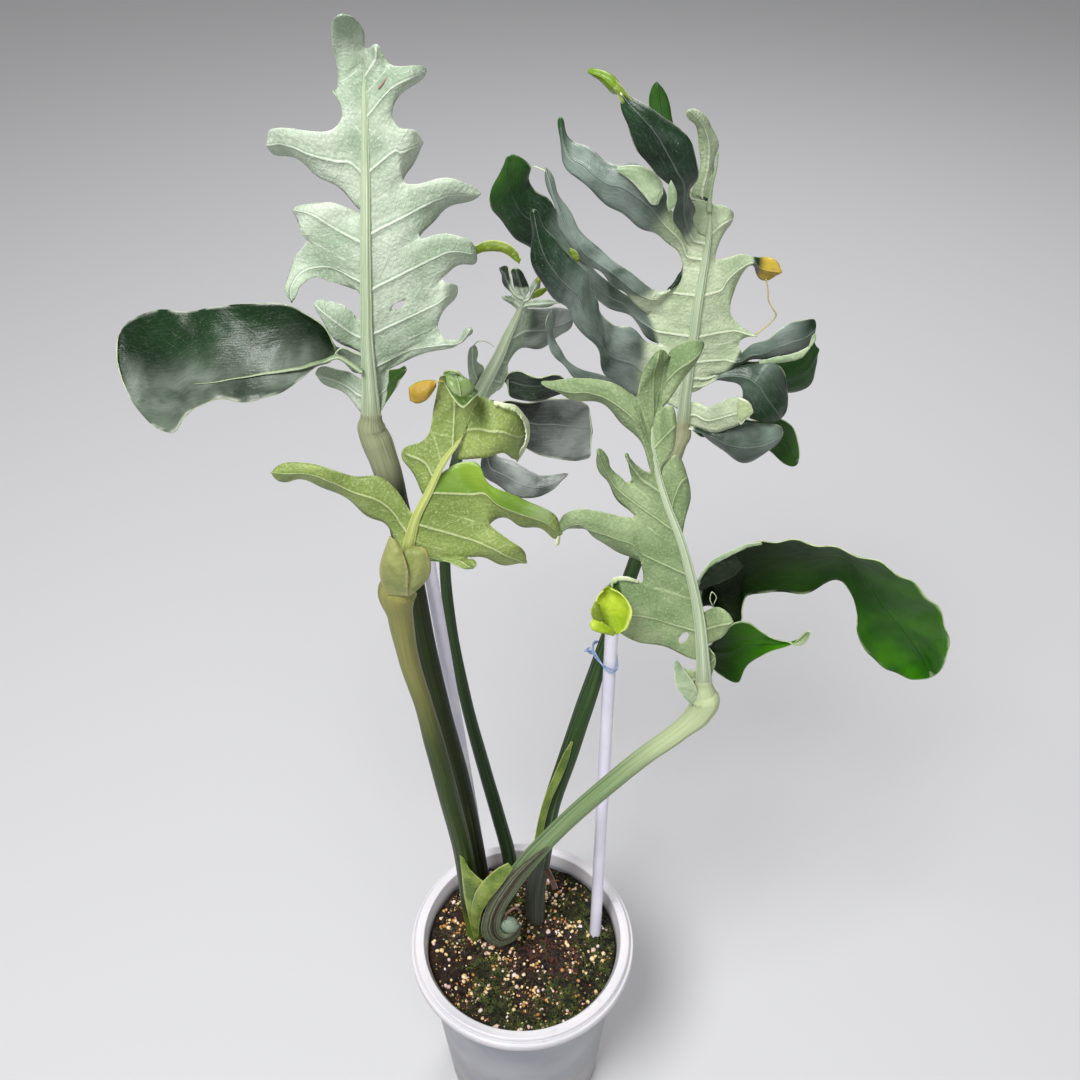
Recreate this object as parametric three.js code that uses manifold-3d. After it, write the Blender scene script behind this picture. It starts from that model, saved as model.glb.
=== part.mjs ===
// A potted monstera with five deeply cut, silver-backed leaves, two stakes and a wire tie.
// Millimetres, +Z up. The origin is the centre of the pot's foot; the plant faces -Y.
import * as THREE from "three";
import { mergeVertices } from "three/addons/utils/BufferGeometryUtils.js";
import Module from "manifold-3d";

const wasm = await Module();
wasm.setup();

// ---- driving sizes -------------------------------------------------------------------------

const GAP = 0.3; // clearance kept between neighbouring pieces
const SEAT_GAP = 0.45; // clearance between a petiole's top and its blade's foot

const POT = {
  height: 165,
  rimRadius: 75,
  lipInnerRadius: 66,
  lipThickness: 2,
  skirtDepth: 10,
  skirtWall: 1.8,
  shoulderRadius: 66,
  footRadius: 55,
  wall: 1.8,
  floor: 2.4,
  sides: 40,
  drainHoles: 6,
  drainRadius: 3.5,
  drainCircle: 32,
};

const SOIL = { top: 152, dome: 2.5, rings: 4, sides: 28, grains: 36, grainRadius: 2.2, seed: 11 };
const PETIOLE_ROOT = 12; // how far a petiole reaches under the soil
const STAKE_FOOT_HEIGHT = 60;

const STAKE_RADIUS = 3.8;
const WIRE_RADIUS = 0.7;

const BLADE = { thickness: 1, columns: 3, slit: 0.4 };
const RELIEF = 1.4; // how much deeper than drawn the blades wave
const RIB = { sides: 6, depth: 0.5, overrun: 2.5 };
const PETIOLE_SIDES = 8;

// Blades, petioles and stakes are drawn on one upright sheet, 1080 units wide and high with y down,
// as they look to an eye in front of the plant and above it. Depth, in mm behind the pot's axis, then
// puts each of them in space.
const EYE = { place: new THREE.Vector3(12, -424.6, 903.5), pitch: 41.88, focal: 1200, middle: 540 };

const COLOURS = {
  silver: 0xa9bd98,
  young: 0x93b45a,
  back: 0x55705c,
  petiole: 0x4c6b41,
  youngPetiole: 0x8da35c,
  crown: 0x5e6f58,
  pot: 0xd5d7da,
  soil: 0x3a2c20,
  stake: 0xd9d5e4,
  wire: 0x7c9cc4,
};

// ---- leaves --------------------------------------------------------------------------------
// at: the sheet place of the blade's foot, and its depth; tilt: degrees that the blade leans back.
// midrib: [x, y, lift, width] from foot to tip. lobes: [side, y where its foot starts on the midrib,
// y where it ends, bulge, tip length, rows], side by side from the foot up. A row is
// [x, y, x, y, lift, lift] of the lobe's two edges, the lower one first, and the first row is the
// lobe's throat. Rows whose edges trade places turn the lobe over, so that its dark face shows.

const LEAVES = [
  {
    name: "leaf_upper_left",
    colour: "silver",
    at: [372, 425, 70],
    tilt: 8,
    midrib: [
      [372, 425, 0, 12.5], [370, 385, 3, 9], [367, 340, 5, 7], [366, 290, 6, 6.2], [365.5, 240, 6, 5.6],
      [365.5, 190, 4, 5], [365, 140, 2, 4], [364.5, 96, 0, 3], [364, 60, -2, 2],
    ],
    lobes: [
      ["R", 416, 384, 2, 3, [
        [379, 414, 384, 370, 0, 0], [389, 398, 392, 369, 4, 2], [400, 378, 405, 366, 8, 4],
      ]],
      ["R", 384, 356, 3, 3, [
        [384, 370, 437, 327, 0, 2], [448, 347, 444, 339, 4, 4], [463, 343, 456, 339, 8, 8],
        [471, 333, 465, 330, 12, 12],
      ]],
      ["R", 356, 318, 3, 4, [
        [437, 327, 439, 279, 2, 2], [446, 309, 445, 282, 0, 3], [453, 299, 452, 284, -4, 0],
      ]],
      ["R", 318, 267, 4, 1, [
        [439, 279, 417, 241, 2, 3], [460, 266, 444, 233, 0, 3], [476, 263, 469, 239, -3, 3],
        [489, 256, 490, 244, -2, 3], [500, 245, 498, 250, 3, 4], [510, 246, 507, 253, 4, 5],
        [518, 254, 515, 257, 2, 3],
      ]],
      ["R", 267, 206, 5, 5, [
        [417, 241, 403, 184, 3, 2], [431, 222, 420, 184, -2, 2], [445, 211, 439, 178, -6, 3],
        [462, 203, 456, 179, -8, 3], [473, 198, 469, 186, -6, 0],
      ]],
      ["R", 206, 143, 5, 4, [
        [403, 184, 390, 111, 2, 1], [406, 173, 398, 129, -2, 2], [412, 163, 411, 129, -5, 1],
        [420, 154, 418, 132, -7, -3],
      ]],
      ["R", 143, 95, 4, 4, [
        [390, 111, 389, 67, 1, 0], [397, 101, 396, 66, 0, 1], [406, 92, 406, 65, -1, 2],
        [418, 81, 417, 66, -3, 1],
      ]],
      ["R", 95, 60, 2, 2, [
        [389, 67, 364, 50, 0, -2], [386, 60, 367, 49, 0, -1], [381, 52, 372, 47, 0, 0],
      ]],
      ["T", 60, 60, 2, 3, [
        [338, 83, 364, 50, -2, -2], [336, 60, 365, 42, -3, -2], [333, 42, 364, 33, -1, -1],
        [331, 28, 360, 23, 3, 2], [333, 19, 352, 17, 7, 6],
      ]],
      ["L", 416, 386, 2, 4, [
        [362, 414, 351, 373, 0, 0], [350, 400, 345, 371, -2, -4], [338, 389, 333, 368, -3, -5],
        [324, 384, 322, 366, -3, -4],
      ]],
      ["L", 375, 358, -6, 10, [
        [352, 372, 349, 350, -3, 4], [343, 360, 341, 350, 0, 7], [333, 341, 332, 362, 4, 6],
        [318, 322, 317, 366, 6, 10], [300, 308, 302, 379, 6, 16], [275, 303, 280, 393, 6, 22],
        [243, 304, 250, 402, 4, 26], [212, 307, 222, 400, 2, 28], [188, 312, 196, 406, 0, 28],
        [164, 309, 176, 432, -2, 28], [140, 315, 156, 428, -4, 22], [122, 326, 134, 405, -6, 14],
      ]],
      ["L", 356, 325, 3, 4, [
        [350, 348, 358, 320, 2, 2], [340, 344, 352, 311, 3, 2], [333, 337, 345, 306, 4, 2],
        [325, 328, 334, 301, 5, 2], [318, 316, 324, 299, 5, 2],
      ]],
      ["L", 298, 272, 3, 3, [
        [357, 292, 307, 240, 2, 2], [333, 281, 301, 250, 2, 0], [317, 277, 293, 260, 3, -2],
        [306, 279, 287, 272, 5, -2], [299, 286, 285, 284, 8, 2], [295, 296, 289, 296, 10, 8],
      ]],
      ["L", 272, 218, 4, 2, [
        [307, 240, 357, 212, 2, 2], [299, 227, 335, 203, 0, 2], [294, 217, 316, 201, -4, 0],
        [293, 212, 303, 205, -6, -3],
      ]],
      ["L", 212, 140, 4, 2, [
        [357, 208, 345, 113, 2, 1], [338, 188, 333, 130, 0, 2], [316, 174, 308, 131, -2, 3],
        [297, 161, 291, 128, -5, 2], [283, 154, 278, 128, -8, -1], [271, 155, 267, 131, -10, -5],
      ]],
      ["L", 140, 60, 2, 1.5, [
        [345, 113, 338, 83, 1, -2], [339, 104, 337, 86, 0, -2], [336, 97, 335.5, 89, 0, -2],
      ]],
    ],
    holes: [[399.5, 301, 3.6, 1.8, 30]],
  },
  {
    name: "leaf_young",
    colour: "young",
    at: [404, 575, -25],
    tilt: 25,
    midrib: [
      [404, 575, 0, 8], [409, 545, 3, 6.4], [416, 518, 5, 4.8], [428, 494, 6, 4], [446, 458, 6, 3.2],
      [456, 445, 5, 2.4], [464, 434, 4, 1.8],
    ],
    lobes: [
      ["R", 568, 540, 2, 2, [
        [416, 560, 466, 557, 0, 2], [448, 561, 472, 559, 3, 3], [464, 568, 476, 563, 6, 4],
      ]],
      ["R", 540, 507, 4, 4, [
        [466, 557, 488, 524, 2, 2], [478, 558, 497, 531, 0, 3], [500, 563, 517, 545, -4, 1],
        [516, 566, 527, 553, -7, -3],
      ]],
      ["R", 507, 478, 5, 4, [
        [488, 524, 456, 463, 2, 2], [493, 521, 478, 462, 0, 5], [505, 519, 487, 482, -2, 6],
        [526, 527, 516, 496, -3, 5], [546, 532, 543, 507, -4, 3], [557, 539, 557, 518, -6, -1],
      ]],
      ["T", 434, 434, 5, 2, [
        [478, 397, 456, 461, 2, 2], [484, 396, 478, 458, 3, 3], [492, 402, 488, 457, 4, 4],
        [501, 405, 501, 453, 4, 3], [514, 407, 514, 460, 1, -2], [523, 414, 521, 454, -4, -8],
        [528, 422, 526, 443, -8, -10],
      ]],
      ["L", 560, 515, 4, 8, [
        [396, 540, 410, 512, 0, 2], [385, 525, 396, 489, -1, 2], [368, 515, 376, 475, -2, 3],
        [350, 503, 358, 477, -3, 3], [325, 486.5, 336, 471, -3, 4], [300, 481, 312, 463, -2, 4],
        [285, 482, 290, 462, -1, 3],
      ]],
      ["L", 495, 465, 3, 3, [
        [421, 494, 431, 430, 4, 4], [413, 474, 423, 441, 2, 4], [405, 461, 412, 446, 0, 2],
      ]],
      ["L", 465, 434, 3, 3, [
        [431, 430, 478, 397, 4, 2], [433, 410, 477, 393, 5, 4], [437, 388, 473, 386, 7, 6],
        [442, 373, 466, 377, 11, 9], [447, 379, 472, 385, 16, 13], [453, 394, 468, 396, 16, 13],
      ]],
    ],
    holes: [],
  },
  {
    name: "leaf_middle_back",
    colour: "back",
    at: [474, 408, 115],
    tilt: 5,
    midrib: [
      [474, 408, 0, 9], [480, 392, 2, 8.6], [489, 375, 3, 8], [498, 358, 4, 7], [508, 335, 4, 5.6],
      [517, 316, 3, 4], [525, 297, 2, 2.4],
    ],
    lobes: [
      ["R", 404, 401, 2, 2, [
        [484, 407, 485, 404, -3, -2], [490, 430, 498, 424, -11, -10], [482, 452, 494, 442, -10, -9],
        [485, 478, 498, 457, -6, -4], [501, 488, 511, 460, -2, -3], [517, 497, 523, 467, 2, -2],
        [535, 499, 536, 473, 3, -2], [551, 490, 550, 476, 2, -2], [567, 477, 564, 472, 0, -2],
      ]],
      ["R", 401, 396, -4, 2, [
        [485, 404, 486, 400, -2, 1], [492, 410, 494, 402, -4, 0], [500, 404, 499, 420, -6, -4],
        [517, 401, 515, 440, -6, -2], [536, 402, 534, 453, -6, 0], [558, 397, 556, 459, -8, 0],
        [577, 400, 578, 461, -10, -2], [590, 405, 591, 458, -14, -6],
      ]],
      ["R", 396, 360, -3, 2, [
        [486, 400, 507, 363, 1, 2], [496, 392, 507, 377, 0, 3], [512, 371, 510, 397, 6, 2],
        [534, 376, 530, 401, 10, 4], [553, 375, 550, 398, 10, 2], [566, 379, 563, 393, 6, 0],
      ]],
      ["R", 360, 318, 3, 2, [
        [507, 363, 524, 308, 2, 2], [519, 349, 533, 309, 0, -2], [537, 349, 546, 308, -4, -6],
        [556, 340, 560, 307, -8, -12], [570, 329, 569, 309, -12, -16],
      ]],
      ["R", 318, 306, 1, 2, [
        [524, 308, 525, 302, 2, 2], [534, 308, 535, 300, 4, 4], [547, 306, 548, 300, 5, 5],
        [557, 304, 557, 301, 4, 4],
      ]],
      ["R", 305, 297, 2, 2, [
        [528, 302, 530, 296, 2, 2], [535, 295, 530, 287, 3, 3], [541, 286, 534, 280, 3, 5],
        [542, 278, 539, 275, 2, 4],
      ]],
      ["T", 297, 297, 2, 2, [
        [515, 293, 530, 290, 2, 2], [512, 280, 528, 283, 3, 3], [511, 270, 523, 273, 5, 5],
      ]],
      ["L", 400, 385, 1, 1, [
        [474, 398, 484, 366, 0, 1], [470, 382, 480, 364, 3, 2], [468, 364, 477, 358, 6, 4],
        [469, 348, 477, 345, 8, 6],
      ]],
      ["L", 312, 302, 1, 1, [
        [513, 306, 515, 297, 2, 2], [508, 302, 508, 296, 4, 4], [504, 299, 504, 296, 5, 5],
      ]],
      ["L", 302, 297, 2, 1.5, [
        [515, 297, 515, 293, 2, 2], [507, 288, 510, 281, 0, 1], [502, 281, 509, 266, -4, -2],
        [499, 272, 502, 265, -8, -6],
      ]],
    ],
    holes: [],
  },
  {
    name: "leaf_upper_right",
    colour: "silver",
    at: [682, 432, 95],
    tilt: 8,
    midrib: [
      [682, 432, 0, 9], [685, 400, 3, 7], [690, 360, 5, 6], [694, 335, 6, 5.6], [698, 305, 6, 5.2],
      [702, 280, 5, 4.8], [706, 255, 4, 4], [709, 232, 3, 3.2], [710, 195, 0, 2.2],
    ],
    lobes: [
      ["R", 430, 428, -2, 4, [
        [692, 430, 692, 428, 0, 0], [702, 437, 702, 430, -3, -3], [720, 434, 722, 422, -9, -8],
        [750, 440, 754, 420, -14, -13], [771, 452, 782, 420, -14, -14], [783, 463, 793, 425, -12, -12],
        [791, 467, 797, 444, -9, -9],
      ]],
      ["R", 428, 426, 6, 4, [
        [692, 429, 692, 427, 0, 0], [700, 432, 702, 427, 1, 2], [708, 438, 712, 426, 2, 4],
        [722, 452, 726, 425, 3, 6], [742, 462, 743, 423, 3, 6], [760, 459, 760, 423, 3, 6],
        [775, 446, 776, 424, 2, 4],
      ]],
      ["R", 426, 404, 2, 2, [
        [692, 426, 699, 402, 0, 2], [703, 431, 706, 408, 4, 5], [720, 431, 720, 402, 8, 8],
        [737, 427, 739, 396, 11, 11], [746, 418, 748, 401, 11, 12],
      ]],
      ["R", 394, 380, 3, 4, [
        [700, 390, 706, 381, 1, 2], [721, 379, 724, 371, 2, 2], [740, 386, 747, 364, 4, 2],
        [742, 404, 772, 361, 7, 5], [747, 417, 785, 374, 9, 3], [759, 422, 789, 391, 9, 1],
        [771, 421, 786, 407, 6, 1],
      ]],
      ["R", 380, 376, 2, 3, [
        [706, 381, 710, 376, 2, 2], [735, 372, 739, 362, -1, 0], [755, 376, 758, 361, -3, -3],
        [772, 385, 773, 358, -6, -3], [791, 395, 791, 357, -8, -3], [808, 386, 804, 351, -8, -2],
        [818, 366, 814, 340, -6, -1],
      ]],
      ["R", 376, 350, 4, 2, [
        [710, 376, 738, 341, 2, 2], [738, 366, 742, 354, 2, 3], [749, 362, 749, 343, 1, 4],
        [765, 359, 767, 341, 0, 6], [778, 357, 779, 329, 0, 7], [792, 356, 791, 322, 0, 7],
        [804, 350, 804, 320, 0, 5], [813, 336, 813, 319, 1, 3],
      ]],
      ["R", 350, 326, 2, 1, [
        [738, 341, 731, 318, 2, 2], [744, 338, 742, 327, 3, 3], [755, 337, 755, 333, 4, 4],
      ]],
      ["R", 326, 268, 3, 1.5, [
        [731, 318, 714, 261, 2, 2], [730, 300, 722, 259, 2, 3], [734, 287, 733, 256, 1, 3],
        [745, 273, 745, 253, 0, 2], [753, 264, 755, 256, 0, 1], [757, 275, 761, 258, 2, 4],
        [766, 281, 772, 257, 4, 7], [777, 277, 781, 264, 6, 8],
      ]],
      ["R", 268, 200, 3, 1, [
        [714, 261, 712, 204, 2, 0], [718, 246, 719, 205, 1, 2], [726, 233, 728, 206, 0, 2],
        [731, 224, 733, 211, -2, 0],
      ]],
      ["T", 197, 197, 2, 2, [
        [691, 196, 712, 203, 0, 0], [692, 190, 713, 186, 0, 0], [699, 173, 715, 169, 1, -1],
        [700, 155, 717.5, 150, 3, 1], [698, 136, 717, 136, 6, 4], [692, 121, 709, 121, 10, 8],
        [685, 113, 696, 108, 14, 12],
      ]],
      ["L", 412, 402, 1, 1.5, [
        [668, 404, 668, 396, 0, 0], [645, 402, 645, 392, -5, -5], [620, 394, 622, 382, -9, -9],
        [597, 386, 600, 374, -8, -8], [576, 379, 580, 369, -6, -6], [562, 365, 567, 359, -4, -4],
        [549, 347, 557, 344, -2, -3], [545, 328, 554, 327, 0, -1], [549, 312, 555, 311, 2, 1],
      ]],
      ["L", 402, 352, 5, 6, [
        [668, 396, 662, 346, 0, 3], [648, 398, 648, 343, 0, 4], [628, 390, 630, 326, 2, 4],
        [608, 379, 615, 326, 4, 5], [602, 367, 607, 321, 6, 6], [598, 352, 603, 314, 8, 7],
        [586, 335, 597, 303, 10, 8], [571, 320, 593, 291, 12, 9], [566, 305, 590, 277, 13, 10],
        [553, 298, 580, 265, 14, 10], [541, 284, 569, 254, 14, 10], [533, 265, 558, 244, 13, 9],
        [530, 245, 549, 231, 11, 8], [531, 225, 541, 219, 9, 7],
      ]],
      ["L", 352, 322, 3, 3, [
        [662, 346, 650, 316, 3, 2], [644, 334, 636, 304, -3, -1], [626, 313, 622, 292, -7, -5],
        [604, 306, 606, 280, -9, -8], [586, 294, 588, 262, -11, -9], [566, 280, 572, 242, -12, -9],
        [546, 264, 560, 220, -12, -9], [528, 247, 549, 198, -11, -9], [513, 236, 534, 190, -9, -9],
        [500, 220, 530, 179, -7, -8], [490, 207, 531, 167, -5, -7], [491, 190, 524, 159.5, -4, -6],
        [499, 171, 515, 153, -4, -5],
      ]],
      ["L", 322, 270, 4, 5, [
        [650, 316, 683, 266, 2, 3], [642, 309, 680, 284, 3, 4], [631, 300, 664, 292, 4, 5],
        [619, 290, 645, 284, 5, 7], [606, 278, 624, 267, 6, 8], [592, 268, 608, 256, 6, 7],
        [580, 261, 594, 245, 6, 6], [569, 246, 580, 228, 6, 5], [558, 221, 566, 206, 5, 3],
        [550, 196, 556, 185, 5, 3], [546.5, 178, 550, 174, 4, 3],
      ]],
      ["L", 270, 250, 4, 5, [
        [683, 266, 690, 247, 3, 3], [675, 247, 686, 231, 3, 4], [660, 238, 674, 213, 4, 7],
        [642, 228, 663, 187, 5, 9], [625, 217, 649, 171, 6, 9], [610, 207, 634, 162, 7, 9],
        [599, 197, 617, 167, 7, 8], [586, 188, 604, 158, 7, 6], [576, 176, 590, 148, 6, 3],
        [563.5, 166, 577, 144, 4, 0], [559, 148, 569, 135, 2, -2], [559.5, 131, 564, 126, 0, -3],
      ]],
      ["L", 250, 238, 4, 2, [
        [690, 247, 698, 234, 3, 3], [683, 237, 694.5, 225, 6, 6], [675, 225, 695, 214, 10, 9],
        [673, 213, 693, 205, 13, 12], [676, 197, 691, 192, 16, 15],
        [669, 182, 697, 177, 19, 18], [655, 174, 698.5, 167, 20, 20], [645, 162, 696, 154, 21, 21],
        [635.5, 146, 690, 141, 22, 22], [629, 133, 679, 126, 22, 22], [624, 117, 658, 113, 21, 21],
        [621.5, 102, 634, 100, 18, 18], [620, 93.5, 622, 90, 16, 16],
        [617, 83, 615, 93, 15, 14], [610, 72.5, 606, 87, 14, 12], [601, 67.5, 599, 80, 12, 12],
        [593, 68.5, 592, 75, 12, 11],
      ]],
      ["L", 238, 204, 1, 0.5, [
        [700, 235, 699, 200, 2, 1], [695, 229, 692.5, 200, 1, 0],
      ]],
      ["L", 204, 200, 2, 4, [
        [691, 203, 691, 195, -1, -1], [679, 183, 685, 172, -6, -6], [662, 152, 678, 142, -10, -10],
        [650, 122, 674, 122, -12, -12], [649, 104, 670, 107, -13, -13], [651.5, 88, 664, 90, -13, -13],
      ]],
    ],
    holes: [],
  },
  {
    name: "leaf_front_right",
    colour: "silver",
    at: [704, 690, 0],
    tilt: 12,
    midrib: [
      [704, 690, 0, 11], [703, 660, 3, 8], [698, 610, 5, 6.2], [690, 573, 6, 5.4], [680, 538, 6, 4.8],
      [668, 507, 5, 4.2], [659, 478, 4, 3.6], [654, 455, 3, 3], [652, 435, 2, 2.4], [656, 412, 1, 1.8],
    ],
    lobes: [
      ["R", 682, 655, 1, 2, [
        [711, 679, 708, 646, 0, 1], [714, 667, 712, 652, 1, 2],
      ]],
      ["R", 655, 650, -2, 3, [
        [709, 659, 708, 647, -1, -1], [714, 668, 715, 640, -6, -6], [723, 677, 725, 632, -9, -9],
        [739, 682, 733, 622, -12, -10], [745, 669, 747, 623, -13, -9], [755, 660, 760, 632, -13, -9],
        [768, 652, 775, 638, -12, -9], [781, 648, 786, 643, -10, -9], [793, 642, 790, 645, -9, -9],
        [800, 637, 799, 647.5, -8, -8], [807, 632.5, 806, 640, -7, -7],
      ]],
      ["R", 650, 618, 3, 3, [
        [708, 644, 704, 612, 3, 3], [714, 642, 712, 608, 7, 7], [722, 636, 721, 607, 10, 10],
        [728, 628, 728, 614, 11, 11],
      ]],
      ["R", 612, 590, -10, 5, [
        [704, 606, 701, 583, 0, 0], [712, 606, 712, 573, -6, -4], [726, 628, 722, 562, -10, -4],
        [741, 622, 736, 551, -12, 0], [744, 598, 757, 544, -12, 6], [768, 592, 780, 541, -10, 12],
        [803, 594, 812, 544, -8, 18], [840, 580, 846, 552, -6, 22], [856, 608, 882, 565, -6, 24],
        [858, 637, 914, 585, -8, 24], [873, 659, 938, 609, -10, 22], [892, 672, 947.5, 636, -10, 18],
        [913, 680, 946, 663, -8, 12],
      ]],
      ["R", 540, 490, 3, 1, [
        [684, 530, 662, 468, 4, 3], [688, 504, 674, 454, 2, 3], [691, 493, 681, 458, 0, 1],
      ]],
      ["R", 486, 412, 3, 1, [
        [662, 467, 660, 411, 3, 2], [669, 457, 665, 407, 4, 5], [674, 446, 671, 404, 4, 6],
        [676, 436, 675, 410, 3, 5],
      ]],
      ["T", 412, 412, 5, 2, [
        [669, 352, 660, 411, 2, 2], [678, 345, 677, 388, 3, 3], [687, 341, 688, 377, 4, 2],
        [695, 339, 695, 366, 4, 1], [700, 342, 700, 352, 2, 0],
      ]],
      ["L", 688, 670, 1, 1, [
        [693, 687, 695, 671, 0, 1], [685, 692, 687, 670, 1, 1], [677, 680, 681, 667, 0, 1],
        [674, 672, 677, 662, 1, 2],
      ]],
      ["L", 664, 600, 4, 2, [
        [695, 659, 643, 584, 3, 3], [668, 649, 633, 580, 2, 4], [645, 643, 623, 578, 1, 4],
        [625, 636, 613, 581, 2, 4], [606, 627, 602, 594, 6, 8], [600, 614, 599, 607, 11, 12],
        [606, 627, 605, 594, 17, 17], [618, 630, 618, 589, 20, 20], [628, 620, 628, 600, 20, 20],
      ]],
      ["L", 600, 553, 5, 1.5, [
        [643, 584, 637, 519, 3, 3], [644, 567, 624, 517, 2, 4], [628, 555, 607, 513, 0, 4],
        [608, 547, 592, 510, -2, 4], [593, 539, 580, 509, -3, 4], [586, 527, 571, 511, -2, 3],
        [568, 529, 560, 519, -3, 0], [560, 535, 553, 529, -4, -2],
      ]],
      ["L", 553, 515, 3, 3, [
        [637, 519, 630, 484, 3, 3], [628, 508, 625, 482, 2, 3], [617, 499, 620, 477, 1, 3],
        [607, 484, 613, 469, 2, 4], [600, 471, 607, 458, 4, 6], [595, 456, 602, 448, 6, 8],
      ]],
      ["L", 515, 474, 2, 1.5, [
        [630, 484, 653, 474, 3, 4], [633, 477, 643, 471, 4, 5], [628, 467, 634, 462, 6, 7],
        [624, 457, 629, 453, 8, 9],
      ]],
      ["L", 474, 440, 4, 3, [
        [653, 474, 637, 399, 4, 3], [641, 445, 630, 392, 3, 4], [624, 424, 617, 385, 1, 4],
        [609, 409, 603, 380, -1, 4], [590, 401, 585, 378, -2, 3], [567, 398, 564, 379, -2, 2],
        [547, 388, 547, 380, 0, 2],
      ]],
      ["L", 440, 412, 4, 3, [
        [637, 399, 669, 352, 3, 2], [641, 378, 669, 356, 5, 4], [648, 359, 667, 350, 6, 5],
      ]],
    ],
    holes: [[682.5, 632, 3.8, 2.2, 60]],
  },
];

// Petioles: [x, y, depth, width, thickness] from the crown up to the blade's foot.
const PETIOLES = [
  {
    name: "petiole_young",
    colour: "youngPetiole",
    leaf: "leaf_young",
    path: [
      [475, 934, 6, 10, 9], [471, 905, 4, 12, 11], [468, 880, 2, 12, 11], [463, 850, -2, 11.5, 10.5],
      [450, 800, -7, 11.5, 11], [436, 748, -11, 11, 10], [424, 705, -14.5, 9.4, 9],
      [409, 659, -18, 10, 9.5], [401, 618, -21.5, 12, 10.5], [398, 592, -24, 18, 13],
    ],
  },
  {
    name: "petiole_upper_left",
    colour: "petiole",
    leaf: "leaf_upper_left",
    path: [
      [486, 903, 26, 11, 10], [481, 880, 26, 12, 11], [475, 850, 26, 12.5, 11], [460, 780, 34, 12.5, 11],
      [441, 710, 42, 12, 10.5], [426, 645, 50, 11.5, 10], [414, 585, 56, 12, 11],
      [398, 510, 63, 13, 11.5], [385, 462, 67, 14.5, 12], [378, 443, 69, 15.5, 12.5],
    ],
  },
  {
    name: "petiole_middle_back",
    colour: "petiole",
    leaf: "leaf_middle_back",
    path: [
      [512, 886, 43, 10, 9], [509, 855, 47, 9.5, 9], [499, 818, 55, 9, 8.5], [485, 770, 66, 8.5, 8],
      [466, 700, 76, 7.5, 7], [451, 625, 92, 7, 7], [445, 560, 102, 6.5, 6.5], [452, 480, 110, 6, 6],
      [468, 425, 114, 7, 6.5],
    ],
  },
  {
    name: "petiole_upper_right",
    colour: "petiole",
    leaf: "leaf_upper_right",
    path: [
      [536, 912, 18, 13, 12], [536, 890, 21, 13, 12], [541, 862, 25, 12.5, 11.5], [552, 805, 34, 11, 10.5],
      [569, 755, 41, 11.5, 9.5], [584, 710, 47, 11, 9], [601, 660, 54, 9.5, 8.5], [622, 600, 64, 8, 8],
      [648, 528, 77, 8, 8], [673, 460, 91, 9, 8.5], [679, 444, 94, 8.5, 8],
    ],
  },
  {
    name: "petiole_front_right",
    colour: "petiole",
    leaf: "leaf_front_right",
    path: [
      [500, 938, 2, 12, 11], [494, 921, -1, 12.5, 12], [497, 906, -3, 12.5, 12], [507, 890, -5, 12, 12],
      [527, 863, -6, 11.5, 11.5], [562, 826, -8, 10.5, 10.5], [605, 788, -8, 10.5, 10.5],
      [646, 755, -6, 10.5, 10.5], [680, 731, -4, 11, 10.5],
      [700, 713, -2, 14, 12], [706, 700, -1, 15.5, 12.5],
    ],
  },
];

// Stakes: foot and top as [x, y, depth].
const STAKES = [
  { name: "stake_left", foot: [488, 900, 46], top: [427, 553, 70] },
  { name: "stake_right", foot: [595, 935, 8], top: [613, 606, 53] },
];

// ---- the sheet and the eye -----------------------------------------------------------------

const PITCH = THREE.MathUtils.degToRad(EYE.pitch);
const AHEAD = new THREE.Vector3(0, Math.cos(PITCH), -Math.sin(PITCH));
const OVERHEAD = new THREE.Vector3(0, Math.sin(PITCH), Math.cos(PITCH));

function sightLine(x, y) {
  const across = (x - EYE.middle) / EYE.focal;
  const up = (EYE.middle - y) / EYE.focal;
  return AHEAD.clone().addScaledVector(OVERHEAD, up).add(new THREE.Vector3(across, 0, 0));
}

// The point of a plane that the eye sees at a place of the sheet.
function seenOnPlane(x, y, planePoint, planeNormal) {
  const line = sightLine(x, y);
  const reach = planePoint.clone().sub(EYE.place).dot(planeNormal) / line.dot(planeNormal);
  return EYE.place.clone().addScaledVector(line, reach);
}

function seenAtDepth(x, y, depth) {
  return seenOnPlane(x, y, new THREE.Vector3(0, depth, 0), new THREE.Vector3(0, 1, 0));
}

// ---- solids --------------------------------------------------------------------------------

function solidOf(geometry) {
  const bare = geometry.clone();
  bare.deleteAttribute("normal");
  bare.deleteAttribute("uv");
  const merged = mergeVertices(bare, 1e-4);
  return new wasm.Manifold(new wasm.Mesh({
    numProp: 3,
    vertProperties: Float32Array.from(merged.attributes.position.array),
    triVerts: Uint32Array.from(merged.index.array),
  }));
}

function geometryOf(solid) {
  const mesh = solid.getMesh();
  const geometry = new THREE.BufferGeometry();
  geometry.setAttribute("position", new THREE.BufferAttribute(mesh.vertProperties, 3));
  geometry.setIndex(new THREE.BufferAttribute(mesh.triVerts, 1));
  geometry.computeVertexNormals();
  return geometry;
}

function geometryFrom(points, faces) {
  const geometry = new THREE.BufferGeometry();
  geometry.setAttribute("position", new THREE.Float32BufferAttribute(points.flatMap((p) => p.toArray()), 3));
  geometry.setIndex(faces.flat());
  return geometry;
}

// The largest body left after the cutters are taken away.
function carved(solid, cutters) {
  const rest = cutters.reduce((body, cutter) => body.subtract(cutter), solid);
  const bodies = rest.decompose();
  return bodies.reduce((best, body) => (body.volume() > best.volume() ? body : best));
}

function joined(solids) {
  return solids.reduce((body, next) => body.add(next));
}

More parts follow.
